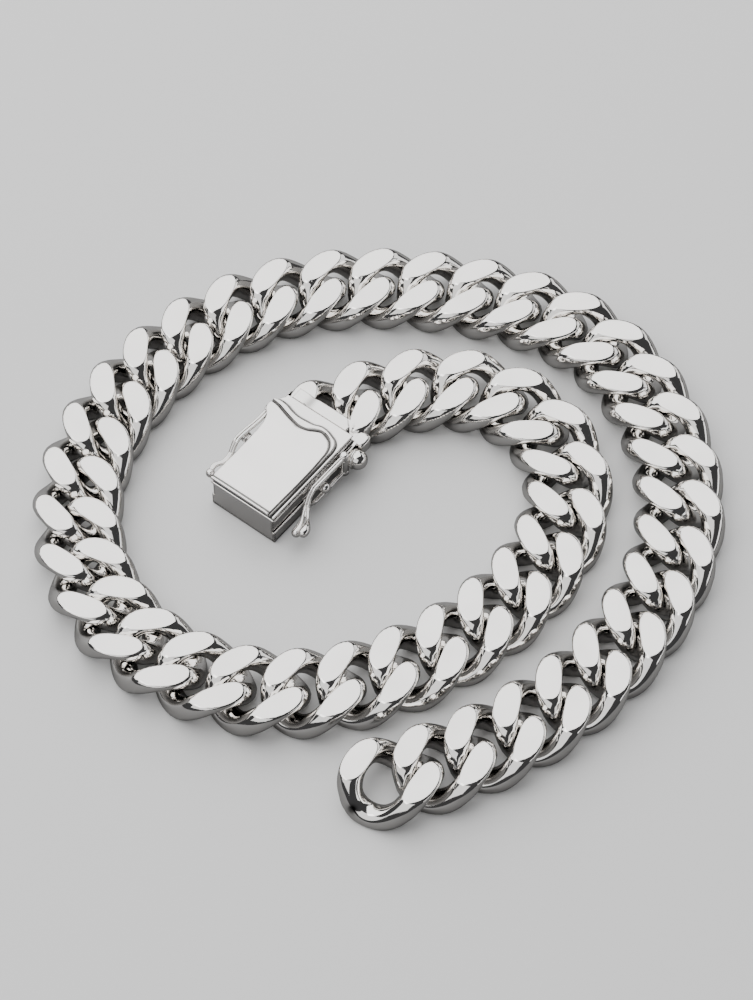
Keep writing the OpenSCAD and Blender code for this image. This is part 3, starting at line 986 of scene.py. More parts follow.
@dataclass
class Tongue(Assembly):
    """The last link, cut off and soldered to the end block, with the blade, the cheeks and the release ball.

    Fields:
        block_l, block_w: the block's length and width.
        block_shift: how far it lies off the middle line, to the plain side.
        block_clear: height from the surface to its foot, and from its top to the box's.
        block_lines: grid lines along and across it.
        edge: radius of its edges.
        corner_cut, corner_cut_w: how far its corner on the ball's side is cut back, and over what width.
        dip_at, dip_w, dip_depth, dip_shade: the dip's place, width, depth and how dark it is painted as shade.
        cut_in: how far inside the block the link is cut off.
        cheek_t, cheek_seat, cheek_lap: a cheek's thickness, its root's distance from the block's far end, and
            its lap on the knuckle.
        bar_corner, bar_edge: rounding of a cheek's corners and edges.
        knuckle_wall, knuckle_bevel: a knuckle's wall and bevels.
        blade_from, blade_l, blade_w, blade_t: the blade's two ends, width and thickness.
        blade_corner, blade_edge: rounding of its lower leaf.
        leaf_z: height of the lower leaf.
        catch_x, catch_z: place of the upper leaf's lip.
        fold_l, fold_t, fold_foot: the fold's length, its top in thicknesses, and its foot over the leaf's.
        ball_d, ball_x, ball_out, ball_drop: the ball's diameter and place.
        cup, cup_along: the cup's profile round the ball's middle, and its axis.
        tab_low, tab_high, tab_corner, tab_edge: the tab's corners from the ball's middle, and its rounding.
    """

    block_l: float = 2.85
    block_w: float = 13.6
    block_shift: float = 0.5
    block_clear: float = 0.5
    block_lines: tuple[int, int] = (12, 70)
    edge: float = 0.3
    corner_cut: float = 1.5
    corner_cut_w: float = 1.8
    dip_at: float = -3.6
    dip_w: float = 0.9
    dip_depth: float = 0.3
    dip_shade: float = 0.5
    cut_in: float = 0.25
    cheek_t: float = 0.75
    cheek_seat: float = 0.6
    cheek_lap: float = 0.3
    bar_corner: float = 0.22
    bar_edge: float = 0.12
    knuckle_wall: float = 0.5
    knuckle_bevel: float = 0.1
    blade_from: float = -1
    blade_l: float = 19.0
    blade_w: float = 10.5
    blade_t: float = 0.8
    blade_corner: float = 0.3
    blade_edge: float = 0.1
    leaf_z: float = 1.7
    catch_x: float = 1.7
    catch_z: float = 7.55
    fold_l: float = 2
    fold_t: float = 1.7
    fold_foot: float = 0.2
    ball_d: float = 4.0
    ball_x: float = 2.0
    ball_out: float = 2.65
    ball_drop: float = 4.1
    cup: Pairs = ((0.6, -2.2), (1.15, -2.1), (1.8, -1.25), (2.08, -0.95), (2.14, -0.75), (2.08, -0.55),
                  (1.85, -0.5), (1.0, -0.6))
    cup_along: Triple = (-0.25, 1, 0.1)
    tab_low: Triple = (-5.3, -3.4, -1.4)
    tab_high: Triple = (-1.8, -0.3, 1.9)
    tab_corner: float = 1.3
    tab_edge: float = 0.7

    @property
    def block_sides(self) -> tuple[float, float]:
        """The block's two sides, from the plain one to the ball's."""
        return -self.block_w/2 - self.block_shift, self.block_w/2 - self.block_shift

    def block_height(self, x: Array, y: Array) -> Array:
        """Height of the block's top.

        A bell-shaped dip crosses it, and its edges fall by a quarter circle. The corner on the ball's side is
        cut back by the cut times a smooth step.

        Args:
            x: places along the clasp.
            y: places across it.

        Returns:
            The height at each place.
        """
        low, high = self.block_sides
        corner = self.corner_cut*ease(y, high - self.corner_cut_w, high)
        to_edge = np.minimum(np.minimum(x + self.block_l - corner, -self.clasp.piece_gap - x),
                             np.minimum(y - low, high - y))
        dip = self.dip_depth*bell(y, self.dip_at, self.dip_w)
        return self.hinge.box_h - self.block_clear - dip - edge_fall(to_edge, self.edge)

    def block(self) -> Skin:
        """The end block, with a dip across its top that is painted dark as shade.

        Returns:
            The closed skin.
        """
        along = grid_lines(-self.block_l, -self.clasp.piece_gap, self.edge, self.block_lines[0])
        across = grid_lines(*self.block_sides, self.edge, self.block_lines[1])
        x, y = np.meshgrid(along, across, indexing="ij")
        skin = relief(x, y, self.block_height, self.block_clear)
        # Painted shade: the dip is painted dark along its bell curve.
        skin.painted_shade[:x.size] = self.dip_shade*bell(y, self.dip_at, self.dip_w).reshape(-1)
        return skin

    def cheek(self, side: Side) -> list[Skin]:
        """Cheek beside the box: its root on the block, its bar along the box and its knuckle round the pin.

        Args:
            side: the cheek's side.

        Returns:
            Three closed skins.
        """
        face = self.hinge.box_w/2 + self.clasp.piece_gap
        outer = face + self.cheek_t
        half = self.hinge.knuckle_h/2
        low, high = self.hinge.middle_z - half, self.hinge.middle_z + half
        root_x = self.cheek_seat - self.block_l
        root_in = self.block_w/2 - 2*self.block_shift
        rim = self.hinge.pin_d/2 + self.knuckle_wall

        def bar(x1: float, inner: float) -> Skin:
            """A bar of the cheek, from its root to a place along the box, outwards from an inner face."""
            y0, y1 = sorted((side.value*inner, side.value*outer))
            return plate((root_x, y0, low), (x1, y1, high), self.bar_corner, self.bar_edge)

        knuckle = eye_profile(self.hinge.bore, rim, -half, half, self.knuckle_bevel)
        return [bar(-self.clasp.piece_gap, root_in), bar(self.hinge.back - rim + self.cheek_lap, face),
                turned_piece(knuckle, self.hinge.at(side, 0), UP, sides=28, hollow=True)]

    def blade(self) -> list[Skin]:
        """The spring blade: a lower leaf, and an upper leaf that rises from its far end to the lip.

        Returns:
            Two closed skins.
        """
        low, high = (self.hinge.left_in - self.blade_w)/2, (self.hinge.left_in + self.blade_w)/2
        leaf_top = self.leaf_z + self.blade_t
        lower = plate((self.blade_from, low, self.leaf_z), (self.blade_l, high, leaf_top),
                      self.blade_corner, self.blade_edge)
        corners = [(self.blade_l, self.leaf_z + self.fold_t*self.blade_t), (self.catch_x, self.catch_z),
                   (self.catch_x, self.catch_z - self.blade_t), (self.blade_l - self.fold_l, leaf_top),
                   (self.blade_l, self.leaf_z + self.fold_foot)]
        return [lower, tube(np.array([[(x, y, z) for x, z in corners] for y in (low, high)]))]

    def ball(self) -> list[Skin]:
        """The release ball, the cup behind it and the tab that carries both.

        Returns:
            Three closed skins.
        """
        at = np.array([self.ball_x, self.hinge.box_w/2 + self.ball_out, self.hinge.box_h - self.ball_drop])
        return [turned_piece(ball_profile(self.ball_d/2, 0, steps=24), at, (0, 1, 0), sides=40),
                turned_piece(np.array(self.cup), at, self.cup_along),
                plate(at + self.tab_low, at + self.tab_high, self.tab_corner, self.tab_edge)]

    def last_link(self) -> Skin:
        """The last link without what lies past the block's far face.

        Returns:
            The closed skin, in the clasp's frame.
        """
        route = self.clasp.route
        skin = route.skins(route.count - 1, route.count - 1)
        points = turned(skin.points - self.clasp.seam, -self.clasp.heading)
        facing = turned(skin.facing, -self.clasp.heading)
        return cut_off(Skin(points, skin.quads, [], facing, skin.ground), -self.clasp.piece_gap - self.cut_in)

    def build(self) -> bpy.types.Object:
        """Makes the tongue in the place of its solid."""
        skins = [self.last_link(), self.block(), *self.blade(), *self.ball(),
                 *self.cheek(Side.BALL), *self.cheek(Side.PLAIN)]
        return self.dress(self.clasp.placed(skins), "tongue_block", "tongue_silver", "necklace", "tongue")


def cut_off(skin: Skin, at_x: float) -> Skin:
    """Cuts a skin at a plane across x, and closes it there.

    Args:
        skin: the closed skin.
        at_x: place of the plane; what lies beyond it goes.

    Returns:
        What is left, closed.
    """
    work = bmesh.new()
    turned_to = work.verts.layers.float_vector.new("facing")
    ground = work.verts.layers.float.new("ground")
    verts = [work.verts.new(p) for p in skin.points]
    for vert, facing, share in zip(verts, skin.facing, skin.ground):
        vert[turned_to] = facing
        vert[ground] = share
    for quad in skin.quads:
        work.faces.new([verts[i] for i in quad])
    cut = bmesh.ops.bisect_plane(work, geom=work.verts[:] + work.edges[:] + work.faces[:],
                                 plane_co=(at_x, 0, 0), plane_no=(1, 0, 0), clear_outer=True)
    bmesh.ops.edgeloop_fill(work, edges=[e for e in cut["geom_cut"] if isinstance(e, bmesh.types.BMEdge)])
    work.verts.index_update()
    points = np.array([v.co[:] for v in work.verts])
    facing = unit(np.array([v[turned_to][:] for v in work.verts]))
    shares = np.array([v[ground] for v in work.verts])
    loops = [[v.index for v in f.verts] for f in work.faces]
    work.free()
    quads = np.array([f for f in loops if len(f) == 4])
    return Skin(points, quads, [f for f in loops if len(f) != 4], facing, shares)


@dataclass
class ClaspBox(Assembly):
    """The box: base plate, rails, walls, ledge and the lid with its panel and wavy bead, and the two studs.

    Fields:
        length: the box's length.
        base_t, wall_t: thickness of its base plate and its walls.
        wall_inset, back_inset: how far the walls stand in from the rails, at the sides and at the back.
        wall_steps: points along the left wall.
        lap: how far a wall reaches into the rail below it and the ledge above it.
        corner: rounding of all upright corners.
        rail_edge, ledge_edge, wall_edge: edges of the base plate and rails, of the ledge, and of the walls.
        rail_h, ledge_z, ledge_t: height of the rails, and the ledge's height and thickness.
        groove_inset, groove_rise, groove_shade: the groove under the lid: inset, reach up and how dark it is
            painted as shade.
        lid_z, band_z: height of the lid's foot and of its level band.
        ceiling_share, ceiling_t, ceiling_rise: the ceiling's share of the outline, its thickness, and its top
            over the lid's foot.
        bead_rise, bead_power: height and fullness of the bead.
        panel_rise, panel_rim, panel_bend, panel_edge: the panel's dome: its height, its share at the rim, how
            fast it falls along the clasp, and how far in from the bead it is full.
        line_depth, line_w, line_shade, line_shade_w: depth and width of the two lines, and how dark and how
        wide they are painted as shade.
        ridge_rise, ridge_at, ridge_w: height, place and width of the back ridge.
        back_depth, back_at, back_w: depth, place and width of the groove inside it.
        grid_step, edge: the lid's grid and the radius of its edges.
        corner_from, corner_to: where the left side's step in starts and ends.
        stud_back, stud_reach, stud_d, stud_sunk: the studs' place, reach, diameter and depth in the wall.
        stud_foot: profile of a stud's collar: radius, and height over its foot.
        stud_neck: profile of the neck and the head's underside: radius, and height from the head's top.
        stud_head_from: angle at which the head's ball starts, in degrees.
        left_line: the lid's left edge.
        outer_line, inner_line: the two lines beside the bead.
        past_lid, past_hinge: how far outside the lid they are closed, at the back and right and at the left.
    """

    length: float = 25.0
    base_t: float = 1.2
    wall_t: float = 0.8
    wall_inset: float = 0.45
    back_inset: float = 0.02
    wall_steps: int = 40
    lap: float = 0.3
    corner: float = 0.3
    rail_edge: float = 0.28
    ledge_edge: float = 0.26
    wall_edge: float = 0.1
    rail_h: float = 3.2
    ledge_z: float = 6.8
    ledge_t: float = 0.6
    groove_inset: float = 0.25
    groove_rise: float = 0.2
    groove_shade: float = 1.0
    lid_z: float = 8.3
    band_z: float = 8.62
    ceiling_share: float = 0.92
    ceiling_t: float = 0.5
    ceiling_rise: float = 0.05
    bead_rise: float = 0.36
    bead_power: float = 0.7
    panel_rise: float = 0.32
    panel_rim: float = 0.35
    panel_bend: float = 1.7
    panel_edge: float = 1.2
    line_depth: float = 0.2
    line_w: float = 0.2
    line_shade: float = 0.95
    line_shade_w: float = 0.24
    ridge_rise: float = 0.1
    ridge_at: float = 0.3
    ridge_w: float = 0.2
    back_depth: float = 0.15
    back_at: float = 0.75
    back_w: float = 0.16
    grid_step: float = 0.1
    edge: float = 0.22
    corner_from: float = 4.0
    corner_to: float = 12.0
    stud_back: float = 6.8
    stud_reach: float = 3.4
    stud_d: float = 2.3
    stud_sunk: float = 0.1
    stud_foot: Pairs = ((1.0, 0), (1.0, 0.4), (0.9, 0.5), (0.6, 0.55))
    stud_neck: Pairs = ((0.6, -2.3), (0.9, -2.25), (1.0, -2.15), (1.0, -1.95))
    stud_head_from: float = -46
    left_line: Pairs = ((-0.2, -8.25), (0.8, -8.3), (1.6, -8.85), (2.4, -9.6), (3.4, -9.95), (4.8, -9.85),
                        (6.3, -8.6), (8.0, -7.9), (10.0, -7.65), (12.5, -7.55), (25.2, -7.55))
    outer_line: Pairs = ((2.4, -10.2), (1.95, -8.4), (2.05, -6.6), (2.65, -4.6), (2.9, -2.9), (2.8, -1.2),
                         (2.6, 0.7), (2.1, 2.1), (2.15, 3.6), (2.6, 5.0), (3.1, 6.2), (4.0, 7.1), (5.4, 7.5),
                         (7.5, 7.55), (25.6, 7.55))
    inner_line: Pairs = ((3.0, -10.2), (3.25, -8.0), (3.65, -6.6), (4.15, -4.9), (4.55, -3.1), (4.75, -1.4),
                         (4.4, 0.3), (3.6, 1.7), (3.15, 2.9), (3.4, 4.2), (3.9, 5.3), (5.1, 6.3), (6.5, 6.8),
                         (8.3, 6.95), (25.6, 6.95))
    past_lid: float = 2
    past_hinge: float = 5

    @staticmethod
    def line(points: Pairs, steps: int = 90) -> Array:
        """A smooth line: each coordinate is a cubic in the distance along the points.

        Between points p and q, h apart and with slopes m and n, it is (2t^3 - 3t^2 + 1) p +
        (t^3 - 2t^2 + t) h m + (3t^2 - 2t^3) q + (t^3 - t^2) h n.

        Args:
            points: the points that it runs through.
            steps: number of points to make.

        Returns:
            The points of the line.
        """
        p = np.array(points)
        d = np.concatenate([[0], np.cumsum(np.linalg.norm(np.diff(p, axis=0), axis=1))])
        slope = np.gradient(p, d, axis=0)
        s = np.linspace(0, d[-1], steps)
        k = np.clip(np.searchsorted(d, s, side="right") - 1, 0, len(p) - 2)
        h = (d[k + 1] - d[k])[:, None]
        t = ((s - d[k])/h[:, 0])[:, None]
        return ((2*t**3 - 3*t**2 + 1)*p[k] + (t**3 - 2*t**2 + t)*h*slope[k]
                + (-2*t**3 + 3*t**2)*p[k + 1] + (t**3 - t**2)*h*slope[k + 1])

    @staticmethod
    def apart(x: Array, y: Array, line: Array, closing: list[tuple[float, float]]) -> Array:
        """Distance from a line, positive on the panel's side.

        A place is on that side if a ray from it along x crosses the closed ring an odd number of times.

        Args:
            x: places along the clasp.
            y: places across it.
            line: the line's points.
            closing: corners that close the line round the panel.

        Returns:
            The signed distance at each place.
        """
        start, step = line[:-1], np.diff(line, axis=0)
        px, py = x[..., None] - start[:, 0], y[..., None] - start[:, 1]
        t = np.clip((px*step[:, 0] + py*step[:, 1])/(step**2).sum(1), 0, 1)
        distance = np.hypot(px - t*step[:, 0], py - t*step[:, 1]).min(-1)
        ring = np.concatenate([line, closing])
        a, b = ring, np.roll(ring, -1, axis=0)
        spans = (a[:, 1] > y[..., None]) != (b[:, 1] > y[..., None])
        least = 1e-9
        rise = np.where(np.abs(b[:, 1] - a[:, 1]) < least, least, b[:, 1] - a[:, 1])
        crossing = a[:, 0] + (y[..., None] - a[:, 1])*(b[:, 0] - a[:, 0])/rise
        inside = (spans & (x[..., None] < crossing)).sum(-1) % 2 == 1
        return np.where(inside, distance, -distance)

    def lid_left(self, x: Array) -> Array:
        """Returns the lid's left edge at places x."""
        line = self.line(self.left_line, steps=400)
        return np.interp(x, line[:, 0], line[:, 1])

    def from_lines(self, x: Array, y: Array) -> tuple[Array, Array]:
        """Distances from the outer and the inner line, positive on the panel's side.

        Args:
            x: places along the clasp.
            y: places across it.

        Returns:
            The two distances at each place.
        """
        back, right = self.length + self.past_lid, self.hinge.box_w/2 + self.past_lid
        left = -self.hinge.box_w/2 - self.past_hinge
        closing = [(back, right), (back, left), (self.outer_line[0][0], left)]
        return (self.apart(x, y, self.line(self.outer_line), closing),
                self.apart(x, y, self.line(self.inner_line), closing))

    def back_groove(self, x: Array) -> Array:
        """Returns the share of the groove inside the back ridge at places x: a bell curve."""
        return bell(self.length - x, self.back_at, self.back_w)

    def lid_painted_shade(self, x: Array, y: Array) -> Array:
        """Painted shade on the lid: bell curves along both lines and along the back groove.

        Args:
            x: places along the clasp.
            y: places across it.

        Returns:
            The share at each place.
        """
        outer, inner = self.from_lines(x, y)
        lines = bell(outer, 0, self.line_shade_w) + bell(inner, 0, self.line_shade_w)
        return self.line_shade*np.clip(lines + np.where(inner > 0, self.back_groove(x), 0), 0, 1)

    def lid_height(self, x: Array, y: Array) -> Array:
        """Height of the lid's top.

        The band is level. Between the outer and the inner line stands the bead, as high as 4 s (1 - s) to the
        bead's power, where s is the share of the way across. Both lines are sunk by a bell curve. The panel
        inside is domed: its share at the rim, plus the rest times (1 - Y^2)(1 - X^2), with Y and X the places
        from its middle as shares of its size. A ridge with a groove inside it runs along the back edge, and
        all edges fall by a quarter circle.

        Args:
            x: places along the clasp.
            y: places across it.

        Returns:
            The height at each place.
        """
        half = self.hinge.box_w/2
        outer, inner = self.from_lines(x, y)
        least = 1e-6
        share = np.clip(outer/np.maximum(outer - inner, least), 0, 1)
        bead = np.where((outer > 0) & (inner < 0), (4*share*(1 - share))**self.bead_power, 0)
        along = (x - self.length/2)/self.length*self.panel_bend
        dome = self.panel_rim + (1 - self.panel_rim)*(1 - (y/half)**2)*(1 - along**2)
        panel = np.where(inner > 0, self.panel_rise*dome*ease(inner, 0, self.panel_edge), 0)
        sunk = bell(outer, 0, self.line_w) + bell(inner, 0, self.line_w)
        to_back = self.length - x
        ridge = self.ridge_rise*bell(to_back, self.ridge_at, self.ridge_w)
        at_back = np.where(inner > 0, ridge - self.back_depth*self.back_groove(x), 0)
        height = self.band_z + self.bead_rise*bead + panel - self.line_depth*sunk + at_back
        to_edge = np.minimum(np.minimum(x, to_back), np.minimum(half - y, y - self.lid_left(x)))
        return height - edge_fall(to_edge, self.edge)

    def lid(self) -> Skin:
        """The lid, whose grid lines are closest at the edges and follow the left edge over the hinge.

        Returns:
            The closed skin.
        """
        half = self.hinge.box_w/2
        along, across = (grid_lines(low, high, self.edge, int((high - low)/self.grid_step))
                         for low, high in ((0, self.length), (-half, half)))
        x, y = np.meshgrid(along, across, indexing="ij")
        y = half - (half - y)*(half - self.lid_left(x))/(2*half)
        skin = relief(x, y, self.lid_height, self.lid_z)
        # Painted shade: the two lines and the back groove are painted dark.
        skin.painted_shade[:x.size] = self.lid_painted_shade(x, y).reshape(-1)
        return skin

    def left_wall(self, x: Array) -> Array:
        """Returns the left wall's outer face at places x: its front stands out to the box's full width."""
        return self.hinge.left_in*ease(x, self.corner_from, self.corner_to) - self.hinge.box_w/2

    def walls(self, z0: float, z1: float, set_in: float, back_in: float, edge: float) -> list[Skin]:
        """Walls on the box's two sides and its back, between two heights.

        Args:
            z0: their foot.
            z1: their top.
            set_in: how far the sides stand in from the box's width.
            back_in: how far the back one stands in from the box's length.
            edge: radius of their edges.

        Returns:
            Three closed skins.
        """
        x = np.linspace(0, self.length - back_in, self.wall_steps)
        y, half = self.left_wall(x) + set_in, self.hinge.box_w/2 - set_in
        left = np.concatenate([np.stack([x, y], -1), np.stack([x, y + self.wall_t], -1)[::-1]])
        return [prism(left, z0, z1, self.corner, edge),
                plate((0, half - self.wall_t, z0), (x[-1], half, z1), self.corner, edge),
                plate((x[-1] - self.wall_t, y[-1], z0), (x[-1], half, z1), self.corner, edge)]

    def shell(self) -> list[Skin]:
        """Base plate, ceiling, rails, walls, ledge and the groove under the lid, painted dark as shade.

        Returns:
            The closed skins.
        """
        x = np.linspace(0, self.length, self.wall_steps)
        half = self.hinge.box_w/2
        outline = np.concatenate([np.stack([x, self.left_wall(x)], -1), [[self.length, half], [0, half]]])
        middle = outline.mean(0)
        ceiling = middle + (outline - middle)*self.ceiling_share
        groove = self.walls(self.ledge_z + self.lap, self.lid_z + self.groove_rise, self.groove_inset,
                            self.groove_inset, self.wall_edge)
        # Painted shade: the groove's walls are painted dark all over.
        for skin in groove:
            skin.painted_shade[:] = self.groove_shade
        return [prism(outline, 0, self.base_t, self.corner, self.rail_edge),
                prism(ceiling, self.lid_z - self.ceiling_t, self.lid_z + self.ceiling_rise, self.corner,
                      self.wall_edge),
                *self.walls(0, self.rail_h, 0, 0, self.rail_edge),
                *self.walls(self.rail_h - self.lap, self.ledge_z + self.lap, self.wall_inset, self.back_inset,
                            self.wall_edge),
                *self.walls(self.ledge_z, self.ledge_z + self.ledge_t, 0, 0, self.ledge_edge), *groove]

    def stud(self, side: Side) -> Skin:
        """Stud that a latch closes over: a collar, a neck and a round head.

        Args:
            side: the stud's side.

        Returns:
            The closed skin.
        """
        deeper = self.hinge.left_in if side is Side.PLAIN else 0
        out = self.hinge.box_w/2 - self.wall_inset - self.stud_sunk - deeper
        at = np.array([self.hinge.back + self.stud_back, side.value*out, self.hinge.middle_z])
        radius, reach = self.stud_d/2, self.stud_reach + deeper
        head = ball_profile(radius, reach - radius, start=self.stud_head_from, steps=14)
        profile = np.concatenate([self.stud_foot, np.array(self.stud_neck) + [0, reach], head])
        return turned_piece(profile, at, (0, side.value, 0))

    def build(self) -> bpy.types.Object:
        """Makes the box in the place of its solid."""
        skins = [self.lid(), *self.shell(), self.stud(Side.BALL), self.stud(Side.PLAIN)]
        return self.dress(self.clasp.placed(skins), "clasp_box_lid", "box_silver", "necklace", "clasp_box")


@dataclass(frozen=True)
class LatchForm:
    """What differs between the two latches. A step is a rise, and the shares of the length of its two ends.

    Fields:
        side: the latch's side.
        bends: its steps out from the box.
        parting: the step by which half the distance between its strands grows.
        hang: how far its tip hangs below the hinge's middle level.
        lift: how far one strand's tip stands above and the other's below that.
        tip_r: radius of a strand's tip.
        ball_r: radius of a ball that joins the tips; 0 for none.
    """

    side: Side
    bends: tuple[Triple, ...]
    parting: Triple
    hang: float
    lift: float
    tip_r: float
    ball_r: float


LEFT_BENDS = ((0.5, 0.15, 0.5), (-0.375, 0.55, 0.72), (0.9, 0.78, 0.9), (-0.5, 0.92, 1))
LATCH_FORMS = (LatchForm(Side.BALL, bends=((3.2, 0.58, 1),), parting=(0.62, 0.62, 1), hang=0.4, lift=0.8,
                         tip_r=0.975, ball_r=0),
               LatchForm(Side.PLAIN, bends=LEFT_BENDS, parting=(-0.112, 0.55, 0.72), hang=0, lift=0,
                         tip_r=0.36, ball_r=0.9))


@dataclass
class Latch(Assembly):
    """A safety latch: two thin strands from the upper eye and a wire from the lower one, joined at the tip.

    Fields:
        form: what differs between the two latches.
        length: its length from the hinge.
        steps: points along a wire.
        start: share of the length where the wires leave their eyes.
        close_in: share where they start to draw together.
        meet: share where they touch.
        lower_past: share by which the lower wire runs on past that.
        lower_r: radius of the lower wire.
        strand_r: radius of an upper strand.
        strands_apart: distance between the strands' middles.
        strand_touch: how far the strands stand above the middle level where the wires touch.
        lower_touch: how far the lower wire stands above it; below 0 for under it.
        swell: shares of the length between which the strands swell to their tips.
        eye_wall, eye_bevel: an eye's wall and bevels.
    """

    form: LatchForm
    length: float = 18.0
    steps: int = 64
    start: float = 0.057
    close_in: float = 0.5
    meet: float = 0.72
    lower_past: float = 0.06
    lower_r: float = 0.45
    strand_r: float = 0.36
    strands_apart: float = 0.56
    strand_touch: float = 0.2
    lower_touch: float = -0.25
    swell: tuple[float, float] = (0.8, 0.97)
    eye_wall: float = 0.5
    eye_bevel: float = 0.15

    def path(self, level: int, strand: int) -> Array:
        """Middle line of one wire.

        Its height is the middle level plus or minus half the spread, easing to a touch where the wires meet,
        then to the tip's hang and lift. Its distance out follows the latch's bends, with the strands half
        their distance to each side, which changes by the parting.

        Args:
            level: 1 for the upper wire and -1 for the lower one.
            strand: 1 or -1 for the outer and the inner strand, and 0 for a single wire.

        Returns:
            The points, in the clasp's frame.
        """
        s = np.linspace(self.start, 1 if strand else self.meet + self.lower_past, self.steps)
        touch = self.strand_touch if strand else self.lower_touch
        half = self.hinge.spread/2
        height = level*half + stepped(s, ((touch - level*half, self.close_in, self.meet),
                                          (-self.form.hang, self.close_in, 1),
                                          (self.form.lift*strand, self.meet, 1)))
        beside = self.strands_apart/2 + stepped(s, (self.form.parting,))
        out = stepped(s, self.form.bends) + strand*beside
        path = np.stack([s*self.length, self.form.side.value*out, height], -1)
        return self.hinge.at(self.form.side, 0) + path

    def eye(self, level: int) -> Skin:
        """Eye of one wire: a flat ring round the pin.

        Args:
            level: 1 for the upper eye and -1 for the lower one.

        Returns:
            The closed skin.
        """
        half, rim = self.hinge.wire_d/2, self.hinge.pin_d/2 + self.eye_wall
        profile = eye_profile(self.hinge.bore, rim, -half, half, self.eye_bevel)
        at = self.hinge.at(self.form.side, level*self.hinge.spread/2)
        return turned_piece(profile, at, UP, hollow=True)

    def build(self) -> bpy.types.Object:
        """Makes the latch in the place of its solid.

        Returns:
            The piece.
        """
        swelling = stepped(np.linspace(0, 1, self.steps), ((self.form.tip_r - self.strand_r, *self.swell),))
        strands = [self.path(1, strand) for strand in (1, -1)]
        skins = [self.eye(1), self.eye(-1), wire(self.path(-1, 0), self.lower_r)]
        skins += [wire(path, self.strand_r + swelling) for path in strands]
        if self.form.ball_r:
            ends = (strands[0][-1] + strands[1][-1])/2
            skins.append(turned_piece(ball_profile(self.form.ball_r, 0), ends, (1, 0, 0), sides=28))
        name = self.form.side.word
        return self.dress(self.clasp.placed(skins), f"{name}_safety_latch", "latch_silver", f"{name}_latch",
                          f"latch_{name}")


@dataclass
class HingePin(Assembly):
    """Pin of a latch's hinge, with a domed head at each end.

    Fields:
        side: the pin's side.
        head: profile of the upper head: radius, and height over the latch's eye and its play. The first row
            is on the shaft.
    """

    side: Side
    head: Pairs = ((0.45, -0.01), (0.71, 0), (0.75, 0.05), (0.6, 0.2), (0.3, 0.25), (0.05, 0.25))

    def build(self) -> bpy.types.Object:
        """Makes the pin in the place of its solid.

        Returns:
            The piece.
        """
        reach = self.hinge.spread/2 + self.hinge.wire_d/2 + self.hinge.pin_play
        upper = np.array(self.head) + [0, reach]
        profile = np.concatenate([(upper*[1, -1])[::-1], upper])
        skin = self.clasp.placed([turned_piece(profile, self.hinge.at(self.side, 0), UP, sides=28)])
        name = self.side.word
        return self.dress(skin, f"{name}_pin", "pin_silver", "necklace", f"hinge_pin_{name}")


@dataclass(frozen=True)
class Softbox:
    """A soft oblong light that faces the necklace.

    Fields:
        name: the light's name.
        azimuth: its direction seen from above, in degrees; 90 is behind the necklace.
        elevation: its height above the floor, in degrees.
        distance: how far away it hangs, in metres.
        size: its width and height, in metres.
        brightness: how bright its face is; the floor's own white is about 1.
        in_metal: whether the metal reflects it.
    """

    name: str
    azimuth: float
    elevation: float
    distance: float
    size: tuple[float, float]
    brightness: float
    in_metal: bool = True


SOFTBOXES = (Softbox("overhead", 122, 52, 1.0, (1.9, 1.8), 2.3),
             Softbox("front_left", -132, 42, 1.1, (1.5, 1.0), 1.2),
             Softbox("right_back", 35, 22, 1.2, (0.9, 0.5), 1.3),
             Softbox("right_strip", -15, 13, 1.2, (1.2, 0.22), 1.6),
             Softbox("fill", 90, 70, 1.2, (3.0, 2.4), 0.4, False))


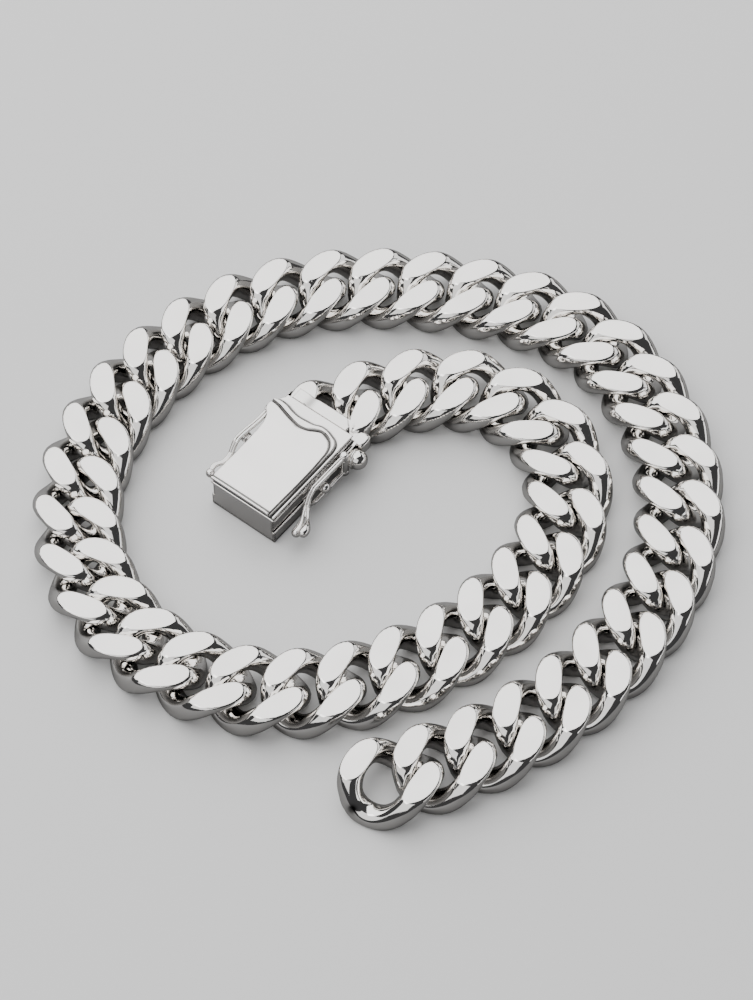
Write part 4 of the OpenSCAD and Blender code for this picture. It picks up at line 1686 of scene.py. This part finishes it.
@dataclass
class Studio:
    """A pale floor, soft lights and the camera at the photo's angle to the necklace.

    Fields:
        elevation: the camera's height above the floor, in degrees.
        distance: its distance from what it aims at.
        focal_pixels: its focal length, in pixels of a picture that is image_height high.
        image_height: the picture's height in pixels.
        sensor: the camera's sensor along the picture's longer side, in millimetres.
        aim: the point that it aims at.
        floor_half: half the floor's width, in metres.
        floor_seen, floor_in_metal: the floor's tone to the eye, and in the metal's reflections.
        floor_roughness: its roughness.
        room: colour of the dim room.
    """

    elevation: float = 55.78
    distance: float = 596.7
    focal_pixels: float = 3067.0
    image_height: float = 1000.0
    sensor: float = 36.0
    aim: Triple = (-0.485, 2.512, 7.5)
    floor_half: float = 2.5
    floor_seen: float = 0.72
    floor_in_metal: float = 0.14
    floor_roughness: float = 0.6
    room: Triple = (0.05, 0.05, 0.052)

    def camera(self) -> None:
        """Places the camera: the aim plus the distance times (0, -cos e, sin e)."""
        data = bpy.data.cameras.new("camera")
        data.sensor_width = self.sensor
        data.lens = self.focal_pixels*self.sensor/self.image_height
        camera = bpy.data.objects.new("camera", data)
        e = np.radians(self.elevation)
        back = Vector((0, -np.cos(e), np.sin(e)))
        camera.location = (Vector(self.aim) + self.distance*back)*MM
        camera.rotation_euler = (-back).to_track_quat("-Z", "Y").to_euler()
        bpy.context.scene.collection.objects.link(camera)
        bpy.context.scene.camera = camera

    @staticmethod
    def softbox(light: Softbox) -> None:
        """Hangs a soft light: its middle is its distance times (cos e cos a, cos e sin a, sin e).

        Args:
            light: the light's place, size and brightness.
        """
        data = bpy.data.lights.new(light.name, "AREA")
        data.shape = "RECTANGLE"
        data.size, data.size_y = light.size
        data.energy = light.brightness*np.pi*light.size[0]*light.size[1]
        made = bpy.data.objects.new(light.name, data)
        a, e = np.radians(light.azimuth), np.radians(light.elevation)
        away = Vector((np.cos(e)*np.cos(a), np.cos(e)*np.sin(a), np.sin(e)))
        made.location = light.distance*away
        made.rotation_euler = away.to_track_quat("Z", "Y").to_euler()
        made.visible_camera = False
        made.visible_glossy = light.in_metal
        bpy.context.scene.collection.objects.link(made)

    def floor(self) -> None:
        """A wide pale floor, which the metal reflects darker than it is seen."""
        mesh = bpy.data.meshes.new("floor")
        half = self.floor_half
        mesh.from_pydata([(-half, -half, 0), (half, -half, 0), (half, half, 0), (-half, half, 0)], [],
                         [(0, 1, 2, 3)])
        floor = bpy.data.objects.new("floor", mesh)
        bpy.context.scene.collection.objects.link(floor)
        material = bpy.data.materials.new("pale_floor")
        material.use_nodes = True
        bench = NodeBench(material.node_tree)
        seen, in_metal = ((tone, tone, tone, 1) for tone in (self.floor_seen, self.floor_in_metal))
        tone = bench.mix(bench.add("ShaderNodeLightPath", "Is Glossy Ray", {}), seen, in_metal)
        bench.feed(material.node_tree.nodes["Principled BSDF"],
                   {"Roughness": self.floor_roughness, "Base Color": tone})
        mesh.materials.append(material)

    def world(self) -> None:
        """A dim, even room."""
        world = bpy.data.worlds.new("room")
        world.use_nodes = True
        world.node_tree.nodes["Background"].inputs["Color"].default_value = (*self.room, 1)
        bpy.context.scene.world = world

    def build(self) -> None:
        """Makes the camera, the floor, the room and the lights."""
        self.camera()
        self.floor()
        self.world()
        for light in SOFTBOXES:
            self.softbox(light)


CHAIN_SILVER = SilverFinish("polished_chain", (0.93, 0.91, 0.885), (0.86, 0.84, 0.815))
END_SILVER = SilverFinish("polished_end_link", (0.93, 0.91, 0.885), (0.86, 0.84, 0.815))
TONGUE_SILVER = SilverFinish("polished_tongue", (0.92, 0.9, 0.875), (0.85, 0.83, 0.805))
BOX_SILVER = SilverFinish("polished_box", (0.93, 0.91, 0.89), (0.88, 0.86, 0.84), round_roughness=0.1)
LATCH_SILVER = SilverFinish("polished_latch", (0.92, 0.9, 0.88), (0.86, 0.84, 0.82))
PIN_SILVER = SilverFinish("polished_pin", (0.9, 0.89, 0.88), (0.84, 0.83, 0.82))


def main() -> None:
    """Builds the studio and the necklace, and reports each piece."""
    logging.basicConfig(level=logging.INFO, format="%(message)s")
    Studio().build()
    shared = (ClaspFrame(ChainRoute(CurbLink())), HingeSizes())
    assemblies = [LooseLinks(*shared, CHAIN_SILVER), EndLink(*shared, END_SILVER),
                  Tongue(*shared, TONGUE_SILVER), ClaspBox(*shared, BOX_SILVER)]
    assemblies += [Latch(*shared, LATCH_SILVER, form) for form in LATCH_FORMS]
    assemblies += [HingePin(*shared, PIN_SILVER, side) for side in Side]
    for assembly in assemblies:
        piece = assembly.build()
        piece.data.calc_loop_triangles()
        LOG.info("%s: %d triangles", piece.name, len(piece.data.loop_triangles))


if __name__ == "__main__":
    main()
